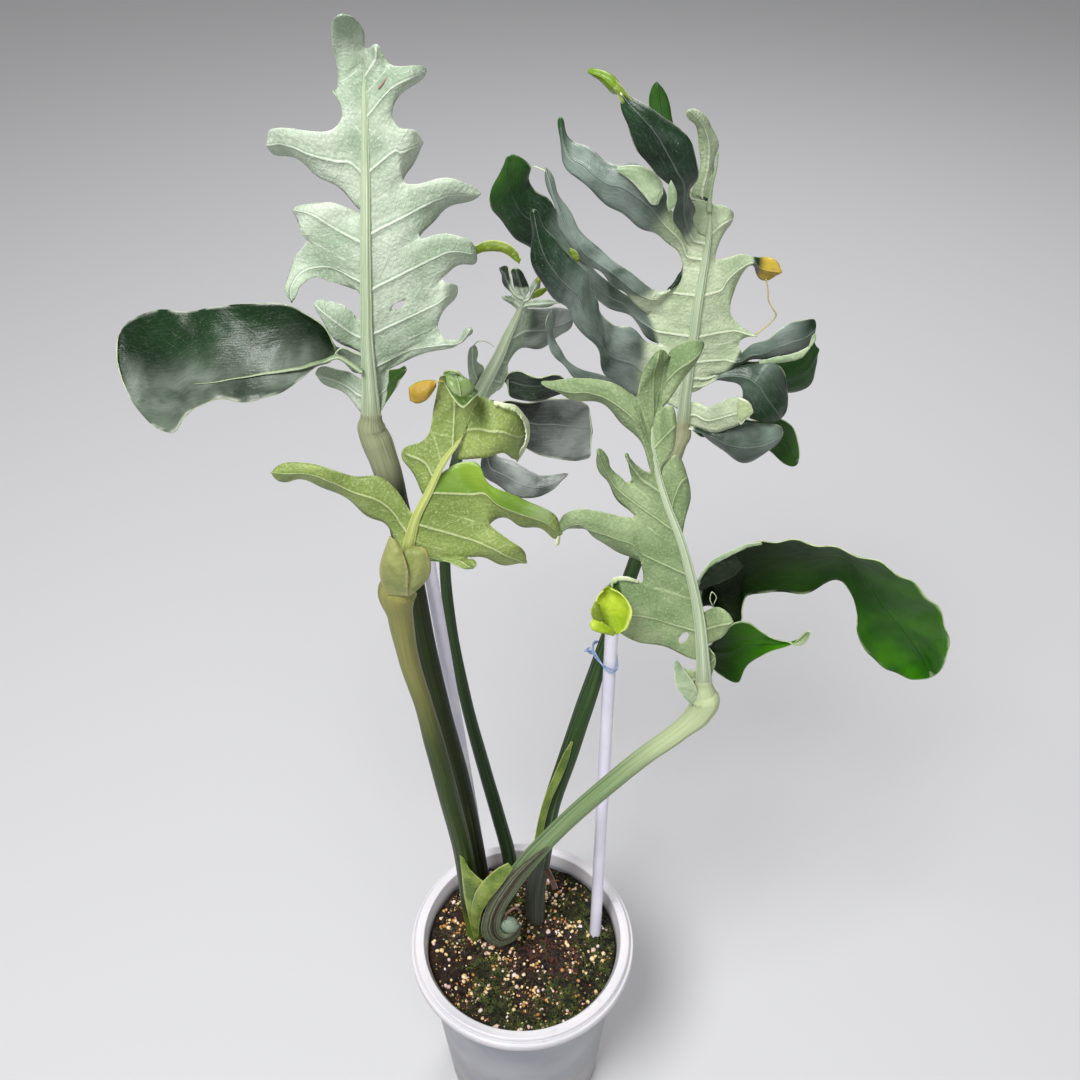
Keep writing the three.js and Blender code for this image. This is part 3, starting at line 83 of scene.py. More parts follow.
# A leaf's at is the sheet place of the blade's foot and its depth behind the pot's axis, and tilt is how
# far the blade leans back. midrib: (x, y, lift, width) from foot to tip. lobes: side, y where its foot
# starts on the midrib, y where it ends, bulge, tip length, rows. A row is (x, y, x, y, lift, lift) of the
# lobe's two edges, and the first row is its throat. Rows whose edges trade places turn the lobe over.
# holes: x, y, half length, half width, angle.
LEAVES = [
  {
    "name": "leaf_upper_left",
    "slot": "silver_leaf",
    "at": (372, 425, 70),
    "tilt": 8,
    "midrib": [
      (372, 425, 0, 12.5), (370, 385, 3, 9), (367, 340, 5, 7), (366, 290, 6, 6.2), (365.5, 240, 6, 5.6),
      (365.5, 190, 4, 5), (365, 140, 2, 4), (364.5, 96, 0, 3), (364, 60, -2, 2),
    ],
    "lobes": [
      ["R", 416, 384, 2, 3, [
        (379, 414, 384, 370, 0, 0), (389, 398, 392, 369, 4, 2), (400, 378, 405, 366, 8, 4),
      ]],
      ["R", 384, 356, 3, 3, [
        (384, 370, 437, 327, 0, 2), (448, 347, 444, 339, 4, 4), (463, 343, 456, 339, 8, 8),
        (471, 333, 465, 330, 12, 12),
      ]],
      ["R", 356, 318, 3, 4, [
        (437, 327, 439, 279, 2, 2), (446, 309, 445, 282, 0, 3), (453, 299, 452, 284, -4, 0),
      ]],
      ["R", 318, 267, 4, 1, [
        (439, 279, 417, 241, 2, 3), (460, 266, 444, 233, 0, 3), (476, 263, 469, 239, -3, 3),
        (489, 256, 490, 244, -2, 3), (500, 245, 498, 250, 3, 4), (510, 246, 507, 253, 4, 5),
        (518, 254, 515, 257, 2, 3),
      ]],
      ["R", 267, 206, 5, 5, [
        (417, 241, 403, 184, 3, 2), (431, 222, 420, 184, -2, 2), (445, 211, 439, 178, -6, 3),
        (462, 203, 456, 179, -8, 3), (473, 198, 469, 186, -6, 0),
      ]],
      ["R", 206, 143, 5, 4, [
        (403, 184, 390, 111, 2, 1), (406, 173, 398, 129, -2, 2), (412, 163, 411, 129, -5, 1),
        (420, 154, 418, 132, -7, -3),
      ]],
      ["R", 143, 95, 4, 4, [
        (390, 111, 389, 67, 1, 0), (397, 101, 396, 66, 0, 1), (406, 92, 406, 65, -1, 2),
        (418, 81, 417, 66, -3, 1),
      ]],
      ["R", 95, 60, 2, 2, [
        (389, 67, 364, 50, 0, -2), (386, 60, 367, 49, 0, -1), (381, 52, 372, 47, 0, 0),
      ]],
      ["T", 60, 60, 2, 3, [
        (338, 83, 364, 50, -2, -2), (336, 60, 365, 42, -3, -2), (333, 42, 364, 33, -1, -1),
        (331, 28, 360, 23, 3, 2), (333, 19, 352, 17, 7, 6),
      ]],
      ["L", 416, 386, 2, 4, [
        (362, 414, 351, 373, 0, 0), (350, 400, 345, 371, -2, -4), (338, 389, 333, 368, -3, -5),
        (324, 384, 322, 366, -3, -4),
      ]],
      ["L", 375, 358, -6, 10, [
        (352, 372, 349, 350, -3, 4), (343, 360, 341, 350, 0, 7), (333, 341, 332, 362, 4, 6),
        (318, 322, 317, 366, 6, 10), (300, 308, 302, 379, 6, 16), (275, 303, 280, 393, 6, 22),
        (243, 304, 250, 402, 4, 26), (212, 307, 222, 400, 2, 28), (188, 312, 196, 406, 0, 28),
        (164, 309, 176, 432, -2, 28), (140, 315, 156, 428, -4, 22), (122, 326, 134, 405, -6, 14),
      ]],
      ["L", 356, 325, 3, 4, [
        (350, 348, 358, 320, 2, 2), (340, 344, 352, 311, 3, 2), (333, 337, 345, 306, 4, 2),
        (325, 328, 334, 301, 5, 2), (318, 316, 324, 299, 5, 2),
      ]],
      ["L", 298, 272, 3, 3, [
        (357, 292, 307, 240, 2, 2), (333, 281, 301, 250, 2, 0), (317, 277, 293, 260, 3, -2),
        (306, 279, 287, 272, 5, -2), (299, 286, 285, 284, 8, 2), (295, 296, 289, 296, 10, 8),
      ]],
      ["L", 272, 218, 4, 2, [
        (307, 240, 357, 212, 2, 2), (299, 227, 335, 203, 0, 2), (294, 217, 316, 201, -4, 0),
        (293, 212, 303, 205, -6, -3),
      ]],
      ["L", 212, 140, 4, 2, [
        (357, 208, 345, 113, 2, 1), (338, 188, 333, 130, 0, 2), (316, 174, 308, 131, -2, 3),
        (297, 161, 291, 128, -5, 2), (283, 154, 278, 128, -8, -1), (271, 155, 267, 131, -10, -5),
      ]],
      ["L", 140, 60, 2, 1.5, [
        (345, 113, 338, 83, 1, -2), (339, 104, 337, 86, 0, -2), (336, 97, 335.5, 89, 0, -2),
      ]],
    ],
    "holes": [(399.5, 301, 3.6, 1.8, 30)],
  },
  {
    "name": "leaf_young",
    "slot": "young_leaf",
    "at": (404, 575, -25),
    "tilt": 25,
    "midrib": [
      (404, 575, 0, 8), (409, 545, 3, 6.4), (416, 518, 5, 4.8), (428, 494, 6, 4), (446, 458, 6, 3.2),
      (456, 445, 5, 2.4), (464, 434, 4, 1.8),
    ],
    "lobes": [
      ["R", 568, 540, 2, 2, [
        (416, 560, 466, 557, 0, 2), (448, 561, 472, 559, 3, 3), (464, 568, 476, 563, 6, 4),
      ]],
      ["R", 540, 507, 4, 4, [
        (466, 557, 488, 524, 2, 2), (478, 558, 497, 531, 0, 3), (500, 563, 517, 545, -4, 1),
        (516, 566, 527, 553, -7, -3),
      ]],
      ["R", 507, 478, 5, 4, [
        (488, 524, 456, 463, 2, 2), (493, 521, 478, 462, 0, 5), (505, 519, 487, 482, -2, 6),
        (526, 527, 516, 496, -3, 5), (546, 532, 543, 507, -4, 3), (557, 539, 557, 518, -6, -1),
      ]],
      ["T", 434, 434, 5, 2, [
        (478, 397, 456, 461, 2, 2), (484, 396, 478, 458, 3, 3), (492, 402, 488, 457, 4, 4),
        (501, 405, 501, 453, 4, 3), (514, 407, 514, 460, 1, -2), (523, 414, 521, 454, -4, -8),
        (528, 422, 526, 443, -8, -10),
      ]],
      ["L", 560, 515, 4, 8, [
        (396, 540, 410, 512, 0, 2), (385, 525, 396, 489, -1, 2), (368, 515, 376, 475, -2, 3),
        (350, 503, 358, 477, -3, 3), (325, 486.5, 336, 471, -3, 4), (300, 481, 312, 463, -2, 4),
        (285, 482, 290, 462, -1, 3),
      ]],
      ["L", 495, 465, 3, 3, [
        (421, 494, 431, 430, 4, 4), (413, 474, 423, 441, 2, 4), (405, 461, 412, 446, 0, 2),
      ]],
      ["L", 465, 434, 3, 3, [
        (431, 430, 478, 397, 4, 2), (433, 410, 477, 393, 5, 4), (437, 388, 473, 386, 7, 6),
        (442, 373, 466, 377, 11, 9), (447, 379, 472, 385, 16, 13), (453, 394, 468, 396, 16, 13),
      ]],
    ],
    "holes": [],
  },
  {
    "name": "leaf_middle_back",
    "slot": "shaded_leaf",
    "at": (474, 408, 115),
    "tilt": 5,
    "midrib": [
      (474, 408, 0, 9), (480, 392, 2, 8.6), (489, 375, 3, 8), (498, 358, 4, 7), (508, 335, 4, 5.6),
      (517, 316, 3, 4), (525, 297, 2, 2.4),
    ],
    "lobes": [
      ["R", 404, 401, 2, 2, [
        (484, 407, 485, 404, -3, -2), (490, 430, 498, 424, -11, -10), (482, 452, 494, 442, -10, -9),
        (485, 478, 498, 457, -6, -4), (501, 488, 511, 460, -2, -3), (517, 497, 523, 467, 2, -2),
        (535, 499, 536, 473, 3, -2), (551, 490, 550, 476, 2, -2), (567, 477, 564, 472, 0, -2),
      ]],
      ["R", 401, 396, -4, 2, [
        (485, 404, 486, 400, -2, 1), (492, 410, 494, 402, -4, 0), (500, 404, 499, 420, -6, -4),
        (517, 401, 515, 440, -6, -2), (536, 402, 534, 453, -6, 0), (558, 397, 556, 459, -8, 0),
        (577, 400, 578, 461, -10, -2), (590, 405, 591, 458, -14, -6),
      ]],
      ["R", 396, 360, -3, 2, [
        (486, 400, 507, 363, 1, 2), (496, 392, 507, 377, 0, 3), (512, 371, 510, 397, 6, 2),
        (534, 376, 530, 401, 10, 4), (553, 375, 550, 398, 10, 2), (566, 379, 563, 393, 6, 0),
      ]],
      ["R", 360, 318, 3, 2, [
        (507, 363, 524, 308, 2, 2), (519, 349, 533, 309, 0, -2), (537, 349, 546, 308, -4, -6),
        (556, 340, 560, 307, -8, -12), (570, 329, 569, 309, -12, -16),
      ]],
      ["R", 318, 306, 1, 2, [
        (524, 308, 525, 302, 2, 2), (534, 308, 535, 300, 4, 4), (547, 306, 548, 300, 5, 5),
        (557, 304, 557, 301, 4, 4),
      ]],
      ["R", 305, 297, 2, 2, [
        (528, 302, 530, 296, 2, 2), (535, 295, 530, 287, 3, 3), (541, 286, 534, 280, 3, 5),
        (542, 278, 539, 275, 2, 4),
      ]],
      ["T", 297, 297, 2, 2, [
        (515, 293, 530, 290, 2, 2), (512, 280, 528, 283, 3, 3), (511, 270, 523, 273, 5, 5),
      ]],
      ["L", 400, 385, 1, 1, [
        (474, 398, 484, 366, 0, 1), (470, 382, 480, 364, 3, 2), (468, 364, 477, 358, 6, 4),
        (469, 348, 477, 345, 8, 6),
      ]],
      ["L", 312, 302, 1, 1, [
        (513, 306, 515, 297, 2, 2), (508, 302, 508, 296, 4, 4), (504, 299, 504, 296, 5, 5),
      ]],
      ["L", 302, 297, 2, 1.5, [
        (515, 297, 515, 293, 2, 2), (507, 288, 510, 281, 0, 1), (502, 281, 509, 266, -4, -2),
        (499, 272, 502, 265, -8, -6),
      ]],
    ],
    "holes": [],
  },
  {
    "name": "leaf_upper_right",
    "slot": "silver_leaf",
    "at": (682, 432, 95),
    "tilt": 8,
    "midrib": [
      (682, 432, 0, 9), (685, 400, 3, 7), (690, 360, 5, 6), (694, 335, 6, 5.6), (698, 305, 6, 5.2),
      (702, 280, 5, 4.8), (706, 255, 4, 4), (709, 232, 3, 3.2), (710, 195, 0, 2.2),
    ],
    "lobes": [
      ["R", 430, 428, -2, 4, [
        (692, 430, 692, 428, 0, 0), (702, 437, 702, 430, -3, -3), (720, 434, 722, 422, -9, -8),
        (750, 440, 754, 420, -14, -13), (771, 452, 782, 420, -14, -14), (783, 463, 793, 425, -12, -12),
        (791, 467, 797, 444, -9, -9),
      ]],
      ["R", 428, 426, 6, 4, [
        (692, 429, 692, 427, 0, 0), (700, 432, 702, 427, 1, 2), (708, 438, 712, 426, 2, 4),
        (722, 452, 726, 425, 3, 6), (742, 462, 743, 423, 3, 6), (760, 459, 760, 423, 3, 6),
        (775, 446, 776, 424, 2, 4),
      ]],
      ["R", 426, 404, 2, 2, [
        (692, 426, 699, 402, 0, 2), (703, 431, 706, 408, 4, 5), (720, 431, 720, 402, 8, 8),
        (737, 427, 739, 396, 11, 11), (746, 418, 748, 401, 11, 12),
      ]],
      ["R", 394, 380, 3, 4, [
        (700, 390, 706, 381, 1, 2), (721, 379, 724, 371, 2, 2), (740, 386, 747, 364, 4, 2),
        (742, 404, 772, 361, 7, 5), (747, 417, 785, 374, 9, 3), (759, 422, 789, 391, 9, 1),
        (771, 421, 786, 407, 6, 1),
      ]],
      ["R", 380, 376, 2, 3, [
        (706, 381, 710, 376, 2, 2), (735, 372, 739, 362, -1, 0), (755, 376, 758, 361, -3, -3),
        (772, 385, 773, 358, -6, -3), (791, 395, 791, 357, -8, -3), (808, 386, 804, 351, -8, -2),
        (818, 366, 814, 340, -6, -1),
      ]],
      ["R", 376, 350, 4, 2, [
        (710, 376, 738, 341, 2, 2), (738, 366, 742, 354, 2, 3), (749, 362, 749, 343, 1, 4),
        (765, 359, 767, 341, 0, 6), (778, 357, 779, 329, 0, 7), (792, 356, 791, 322, 0, 7),
        (804, 350, 804, 320, 0, 5), (813, 336, 813, 319, 1, 3),
      ]],
      ["R", 350, 326, 2, 1, [
        (738, 341, 731, 318, 2, 2), (744, 338, 742, 327, 3, 3), (755, 337, 755, 333, 4, 4),
      ]],
      ["R", 326, 268, 3, 1.5, [
        (731, 318, 714, 261, 2, 2), (730, 300, 722, 259, 2, 3), (734, 287, 733, 256, 1, 3),
        (745, 273, 745, 253, 0, 2), (753, 264, 755, 256, 0, 1), (757, 275, 761, 258, 2, 4),
        (766, 281, 772, 257, 4, 7), (777, 277, 781, 264, 6, 8),
      ]],
      ["R", 268, 200, 3, 1, [
        (714, 261, 712, 204, 2, 0), (718, 246, 719, 205, 1, 2), (726, 233, 728, 206, 0, 2),
        (731, 224, 733, 211, -2, 0),
      ]],
      ["T", 197, 197, 2, 2, [
        (691, 196, 712, 203, 0, 0), (692, 190, 713, 186, 0, 0), (699, 173, 715, 169, 1, -1),
        (700, 155, 717.5, 150, 3, 1), (698, 136, 717, 136, 6, 4), (692, 121, 709, 121, 10, 8),
        (685, 113, 696, 108, 14, 12),
      ]],
      ["L", 412, 402, 1, 1.5, [
        (668, 404, 668, 396, 0, 0), (645, 402, 645, 392, -5, -5), (620, 394, 622, 382, -9, -9),
        (597, 386, 600, 374, -8, -8), (576, 379, 580, 369, -6, -6), (562, 365, 567, 359, -4, -4),
        (549, 347, 557, 344, -2, -3), (545, 328, 554, 327, 0, -1), (549, 312, 555, 311, 2, 1),
      ]],
      ["L", 402, 352, 5, 6, [
        (668, 396, 662, 346, 0, 3), (648, 398, 648, 343, 0, 4), (628, 390, 630, 326, 2, 4),
        (608, 379, 615, 326, 4, 5), (602, 367, 607, 321, 6, 6), (598, 352, 603, 314, 8, 7),
        (586, 335, 597, 303, 10, 8), (571, 320, 593, 291, 12, 9), (566, 305, 590, 277, 13, 10),
        (553, 298, 580, 265, 14, 10), (541, 284, 569, 254, 14, 10), (533, 265, 558, 244, 13, 9),
        (530, 245, 549, 231, 11, 8), (531, 225, 541, 219, 9, 7),
      ]],
      ["L", 352, 322, 3, 3, [
        (662, 346, 650, 316, 3, 2), (644, 334, 636, 304, -3, -1), (626, 313, 622, 292, -7, -5),
        (604, 306, 606, 280, -9, -8), (586, 294, 588, 262, -11, -9), (566, 280, 572, 242, -12, -9),
        (546, 264, 560, 220, -12, -9), (528, 247, 549, 198, -11, -9), (513, 236, 534, 190, -9, -9),
        (500, 220, 530, 179, -7, -8), (490, 207, 531, 167, -5, -7), (491, 190, 524, 159.5, -4, -6),
        (499, 171, 515, 153, -4, -5),
      ]],
      ["L", 322, 270, 4, 5, [
        (650, 316, 683, 266, 2, 3), (642, 309, 680, 284, 3, 4), (631, 300, 664, 292, 4, 5),
        (619, 290, 645, 284, 5, 7), (606, 278, 624, 267, 6, 8), (592, 268, 608, 256, 6, 7),
        (580, 261, 594, 245, 6, 6), (569, 246, 580, 228, 6, 5), (558, 221, 566, 206, 5, 3),
        (550, 196, 556, 185, 5, 3), (546.5, 178, 550, 174, 4, 3),
      ]],
      ["L", 270, 250, 4, 5, [
        (683, 266, 690, 247, 3, 3), (675, 247, 686, 231, 3, 4), (660, 238, 674, 213, 4, 7),
        (642, 228, 663, 187, 5, 9), (625, 217, 649, 171, 6, 9), (610, 207, 634, 162, 7, 9),
        (599, 197, 617, 167, 7, 8), (586, 188, 604, 158, 7, 6), (576, 176, 590, 148, 6, 3),
        (563.5, 166, 577, 144, 4, 0), (559, 148, 569, 135, 2, -2), (559.5, 131, 564, 126, 0, -3),
      ]],
      ["L", 250, 238, 4, 2, [
        (690, 247, 698, 234, 3, 3), (683, 237, 694.5, 225, 6, 6), (675, 225, 695, 214, 10, 9),
        (673, 213, 693, 205, 13, 12), (676, 197, 691, 192, 16, 15),
        (669, 182, 697, 177, 19, 18), (655, 174, 698.5, 167, 20, 20), (645, 162, 696, 154, 21, 21),
        (635.5, 146, 690, 141, 22, 22), (629, 133, 679, 126, 22, 22), (624, 117, 658, 113, 21, 21),
        (621.5, 102, 634, 100, 18, 18), (620, 93.5, 622, 90, 16, 16),
        (617, 83, 615, 93, 15, 14), (610, 72.5, 606, 87, 14, 12), (601, 67.5, 599, 80, 12, 12),
        (593, 68.5, 592, 75, 12, 11),
      ]],
      ["L", 238, 204, 1, 0.5, [
        (700, 235, 699, 200, 2, 1), (695, 229, 692.5, 200, 1, 0),
      ]],
      ["L", 204, 200, 2, 4, [
        (691, 203, 691, 195, -1, -1), (679, 183, 685, 172, -6, -6), (662, 152, 678, 142, -10, -10),
        (650, 122, 674, 122, -12, -12), (649, 104, 670, 107, -13, -13), (651.5, 88, 664, 90, -13, -13),
      ]],
    ],
    "holes": [],
  },
  {
    "name": "leaf_front_right",
    "slot": "silver_leaf",
    "at": (704, 690, 0),
    "tilt": 12,
    "midrib": [
      (704, 690, 0, 11), (703, 660, 3, 8), (698, 610, 5, 6.2), (690, 573, 6, 5.4), (680, 538, 6, 4.8),
      (668, 507, 5, 4.2), (659, 478, 4, 3.6), (654, 455, 3, 3), (652, 435, 2, 2.4), (656, 412, 1, 1.8),
    ],
    "lobes": [
      ["R", 682, 655, 1, 2, [
        (711, 679, 708, 646, 0, 1), (714, 667, 712, 652, 1, 2),
      ]],
      ["R", 655, 650, -2, 3, [
        (709, 659, 708, 647, -1, -1), (714, 668, 715, 640, -6, -6), (723, 677, 725, 632, -9, -9),
        (739, 682, 733, 622, -12, -10), (745, 669, 747, 623, -13, -9), (755, 660, 760, 632, -13, -9),
        (768, 652, 775, 638, -12, -9), (781, 648, 786, 643, -10, -9), (793, 642, 790, 645, -9, -9),
        (800, 637, 799, 647.5, -8, -8), (807, 632.5, 806, 640, -7, -7),
      ]],
      ["R", 650, 618, 3, 3, [
        (708, 644, 704, 612, 3, 3), (714, 642, 712, 608, 7, 7), (722, 636, 721, 607, 10, 10),
        (728, 628, 728, 614, 11, 11),
      ]],
      ["R", 612, 590, -10, 5, [
        (704, 606, 701, 583, 0, 0), (712, 606, 712, 573, -6, -4), (726, 628, 722, 562, -10, -4),
        (741, 622, 736, 551, -12, 0), (744, 598, 757, 544, -12, 6), (768, 592, 780, 541, -10, 12),
        (803, 594, 812, 544, -8, 18), (840, 580, 846, 552, -6, 22), (856, 608, 882, 565, -6, 24),
        (858, 637, 914, 585, -8, 24), (873, 659, 938, 609, -10, 22), (892, 672, 947.5, 636, -10, 18),
        (913, 680, 946, 663, -8, 12),
      ]],
      ["R", 540, 490, 3, 1, [
        (684, 530, 662, 468, 4, 3), (688, 504, 674, 454, 2, 3), (691, 493, 681, 458, 0, 1),
      ]],
      ["R", 486, 412, 3, 1, [
        (662, 467, 660, 411, 3, 2), (669, 457, 665, 407, 4, 5), (674, 446, 671, 404, 4, 6),
        (676, 436, 675, 410, 3, 5),
      ]],
      ["T", 412, 412, 5, 2, [
        (669, 352, 660, 411, 2, 2), (678, 345, 677, 388, 3, 3), (687, 341, 688, 377, 4, 2),
        (695, 339, 695, 366, 4, 1), (700, 342, 700, 352, 2, 0),
      ]],
      ["L", 688, 670, 1, 1, [
        (693, 687, 695, 671, 0, 1), (685, 692, 687, 670, 1, 1), (677, 680, 681, 667, 0, 1),
        (674, 672, 677, 662, 1, 2),
      ]],
      ["L", 664, 600, 4, 2, [
        (695, 659, 643, 584, 3, 3), (668, 649, 633, 580, 2, 4), (645, 643, 623, 578, 1, 4),
        (625, 636, 613, 581, 2, 4), (606, 627, 602, 594, 6, 8), (600, 614, 599, 607, 11, 12),
        (606, 627, 605, 594, 17, 17), (618, 630, 618, 589, 20, 20), (628, 620, 628, 600, 20, 20),
      ]],
      ["L", 600, 553, 5, 1.5, [
        (643, 584, 637, 519, 3, 3), (644, 567, 624, 517, 2, 4), (628, 555, 607, 513, 0, 4),
        (608, 547, 592, 510, -2, 4), (593, 539, 580, 509, -3, 4), (586, 527, 571, 511, -2, 3),
        (568, 529, 560, 519, -3, 0), (560, 535, 553, 529, -4, -2),
      ]],
      ["L", 553, 515, 3, 3, [
        (637, 519, 630, 484, 3, 3), (628, 508, 625, 482, 2, 3), (617, 499, 620, 477, 1, 3),
        (607, 484, 613, 469, 2, 4), (600, 471, 607, 458, 4, 6), (595, 456, 602, 448, 6, 8),
      ]],
      ["L", 515, 474, 2, 1.5, [
        (630, 484, 653, 474, 3, 4), (633, 477, 643, 471, 4, 5), (628, 467, 634, 462, 6, 7),
        (624, 457, 629, 453, 8, 9),
      ]],
      ["L", 474, 440, 4, 3, [
        (653, 474, 637, 399, 4, 3), (641, 445, 630, 392, 3, 4), (624, 424, 617, 385, 1, 4),
        (609, 409, 603, 380, -1, 4), (590, 401, 585, 378, -2, 3), (567, 398, 564, 379, -2, 2),
        (547, 388, 547, 380, 0, 2),
      ]],
      ["L", 440, 412, 4, 3, [
        (637, 399, 669, 352, 3, 2), (641, 378, 669, 356, 5, 4), (648, 359, 667, 350, 6, 5),
      ]],
    ],
    "holes": [(682.5, 632, 3.8, 2.2, 60)],
  },
]

# path: (x, y, depth, width, thickness) from the soil up.
PETIOLES = [
  {
    "name": "petiole_young",
    "slot": "young_petiole",
    "leaf": "leaf_young",
    "path": [
      (475, 934, 6, 10, 9), (471, 905, 4, 12, 11), (468, 880, 2, 12, 11), (463, 850, -2, 11.5, 10.5),
      (450, 800, -7, 11.5, 11), (436, 748, -11, 11, 10), (424, 705, -14.5, 9.4, 9),
      (409, 659, -18, 10, 9.5), (401, 618, -21.5, 12, 10.5), (398, 592, -24, 18, 13),
    ],
  },
  {
    "name": "petiole_upper_left",
    "slot": "petiole",
    "leaf": "leaf_upper_left",
    "path": [
      (486, 903, 26, 11, 10), (481, 880, 26, 12, 11), (475, 850, 26, 12.5, 11), (460, 780, 34, 12.5, 11),
      (441, 710, 42, 12, 10.5), (426, 645, 50, 11.5, 10), (414, 585, 56, 12, 11),
      (398, 510, 63, 13, 11.5), (385, 462, 67, 14.5, 12), (378, 443, 69, 15.5, 12.5),
    ],
  },
  {
    "name": "petiole_middle_back",
    "slot": "petiole",
    "leaf": "leaf_middle_back",
    "path": [
      (512, 886, 43, 10, 9), (509, 855, 47, 9.5, 9), (499, 818, 55, 9, 8.5), (485, 770, 66, 8.5, 8),
      (466, 700, 76, 7.5, 7), (451, 625, 92, 7, 7), (445, 560, 102, 6.5, 6.5), (452, 480, 110, 6, 6),
      (468, 425, 114, 7, 6.5),
    ],
  },
  {
    "name": "petiole_upper_right",
    "slot": "petiole",
    "leaf": "leaf_upper_right",
    "path": [
      (536, 912, 18, 13, 12), (536, 890, 21, 13, 12), (541, 862, 25, 12.5, 11.5), (552, 805, 34, 11, 10.5),
      (569, 755, 41, 11.5, 9.5), (584, 710, 47, 11, 9), (601, 660, 54, 9.5, 8.5), (622, 600, 64, 8, 8),
      (648, 528, 77, 8, 8), (673, 460, 91, 9, 8.5), (679, 444, 94, 8.5, 8),
    ],
  },
  {
    "name": "petiole_front_right",
    "slot": "petiole",
    "leaf": "leaf_front_right",
    "path": [
      (500, 938, 2, 12, 11), (494, 921, -1, 12.5, 12), (497, 906, -3, 12.5, 12), (507, 890, -5, 12, 12),
      (527, 863, -6, 11.5, 11.5), (562, 826, -8, 10.5, 10.5), (605, 788, -8, 10.5, 10.5),
      (646, 755, -6, 10.5, 10.5), (680, 731, -4, 11, 10.5),
      (700, 713, -2, 14, 12), (706, 700, -1, 15.5, 12.5),
    ],
  },
]

# foot and top: (x, y, depth), where the stake leaves the soil and where it ends.
STAKES = [
  {"name": "stake_left", "foot": (488, 900, 46), "top": (427, 553, 70)},
  {"name": "stake_right", "foot": (595, 935, 8), "top": (613, 606, 53)},
]

# Where a lobe isn't plain silver, by its place in the blade's list. It turns its dark upper side to the
# front, is misted with bloom_and_sheen (a grey bloom of its own with painted sheen, the bright sky
# reflected in its gloss), grows fresh or lime green, or has withered, between rows of its table: (start,
# full), and for some also (fade, gone). Rows are counted from the throat at 0, and the web between midrib
# and throat is -1 to
# 0. half is where across the lobe the looks start and are full, with its low edge at 0 and its high edge at
#    1.
# rows is how many rows are used, and a veinless lobe shows no vein.
LOOK_NAMES = ("turned", "bloom_and_sheen", "fresh", "lime", "withered")
LOOKS = {
    "leaf_upper_left": {
        0: {"turned": (0.3, 1), "fresh": (0, 1)},
        3: {"rows": 3},
        8: {"veinless": True},
        9: {"fresh": (1, 4)},
        10: {"bloom_and_sheen": (1, 4), "half": (0.35, 0.8), "veinless": True},
        15: {"veinless": True},
    },
    "leaf_young": {
        2: {
            "turned": (-1, -0.9, 4, 5), "fresh": (-1, -0.9, 2.5, 5), "bloom_and_sheen": (1.5, 3.5),
            "half": (0.5, 0.55),
        },
        6: {"bloom_and_sheen": (1, 9)},
    },
    "leaf_middle_back": {
        0: {"turned": (-1, 0.5), "bloom_and_sheen": (1, 4)},
        1: {"bloom_and_sheen": (2, 8)},
        3: {"turned": (-0.5, 2.5), "bloom_and_sheen": (-1, 1)},
        5: {"turned": (1, 3), "lime": (1, 3)},
        6: {"turned": (0, 1)},
        9: {"turned": (0, 2)},
    },
    "leaf_upper_right": {
        0: {"turned": (-1, 0.5), "fresh": (0, 6)},
        1: {"turned": (-1, 1.5), "bloom_and_sheen": (0, 3), "fresh": (0, 20)},
        3: {"turned": (0, 1.2), "bloom_and_sheen": (-1, 1, 2, 5), "fresh": (0, 18)},
        4: {"turned": (0, 1), "fresh": (1, 4)},
        5: {"turned": (0, 1.2), "bloom_and_sheen": (0, 2, 4, 7)},
        7: {"turned": (3, 4.6), "withered": (4.6, 5.6)},
        10: {"turned": (-0.5, 1), "bloom_and_sheen": (-1, 0), "veinless": True},
        11: {"turned": (-0.4, 3), "bloom_and_sheen": (-0.5, 1, 7, 12)},
        12: {"turned": (-0.6, 1), "bloom_and_sheen": (-1, 0, 5, 7), "fresh": (7, 12)},
        13: {"turned": (1, 4), "bloom_and_sheen": (1, 3)},
        14: {"turned": (0.6, 4), "bloom_and_sheen": (0, 2, 9, 12), "fresh": (8, 14)},
        15: {"turned": (-0.2, 2, 11.4, 12.4), "bloom_and_sheen": (-1, 0, 3, 7), "lime": (11.6, 12.4)},
        16: {"veinless": True},
        17: {"turned": (-0.5, 1), "fresh": (-1, 3)},
    },
    "leaf_front_right": {
        1: {"turned": (-1, 0), "fresh": (0, 8)},
        3: {"turned": (-0.6, 0.4), "fresh": (3, 13)},
        8: {"rows": 5, "turned": (1.8, 3), "bloom_and_sheen": (-1, 0), "half": (0.62, 0.8)},
    },
}

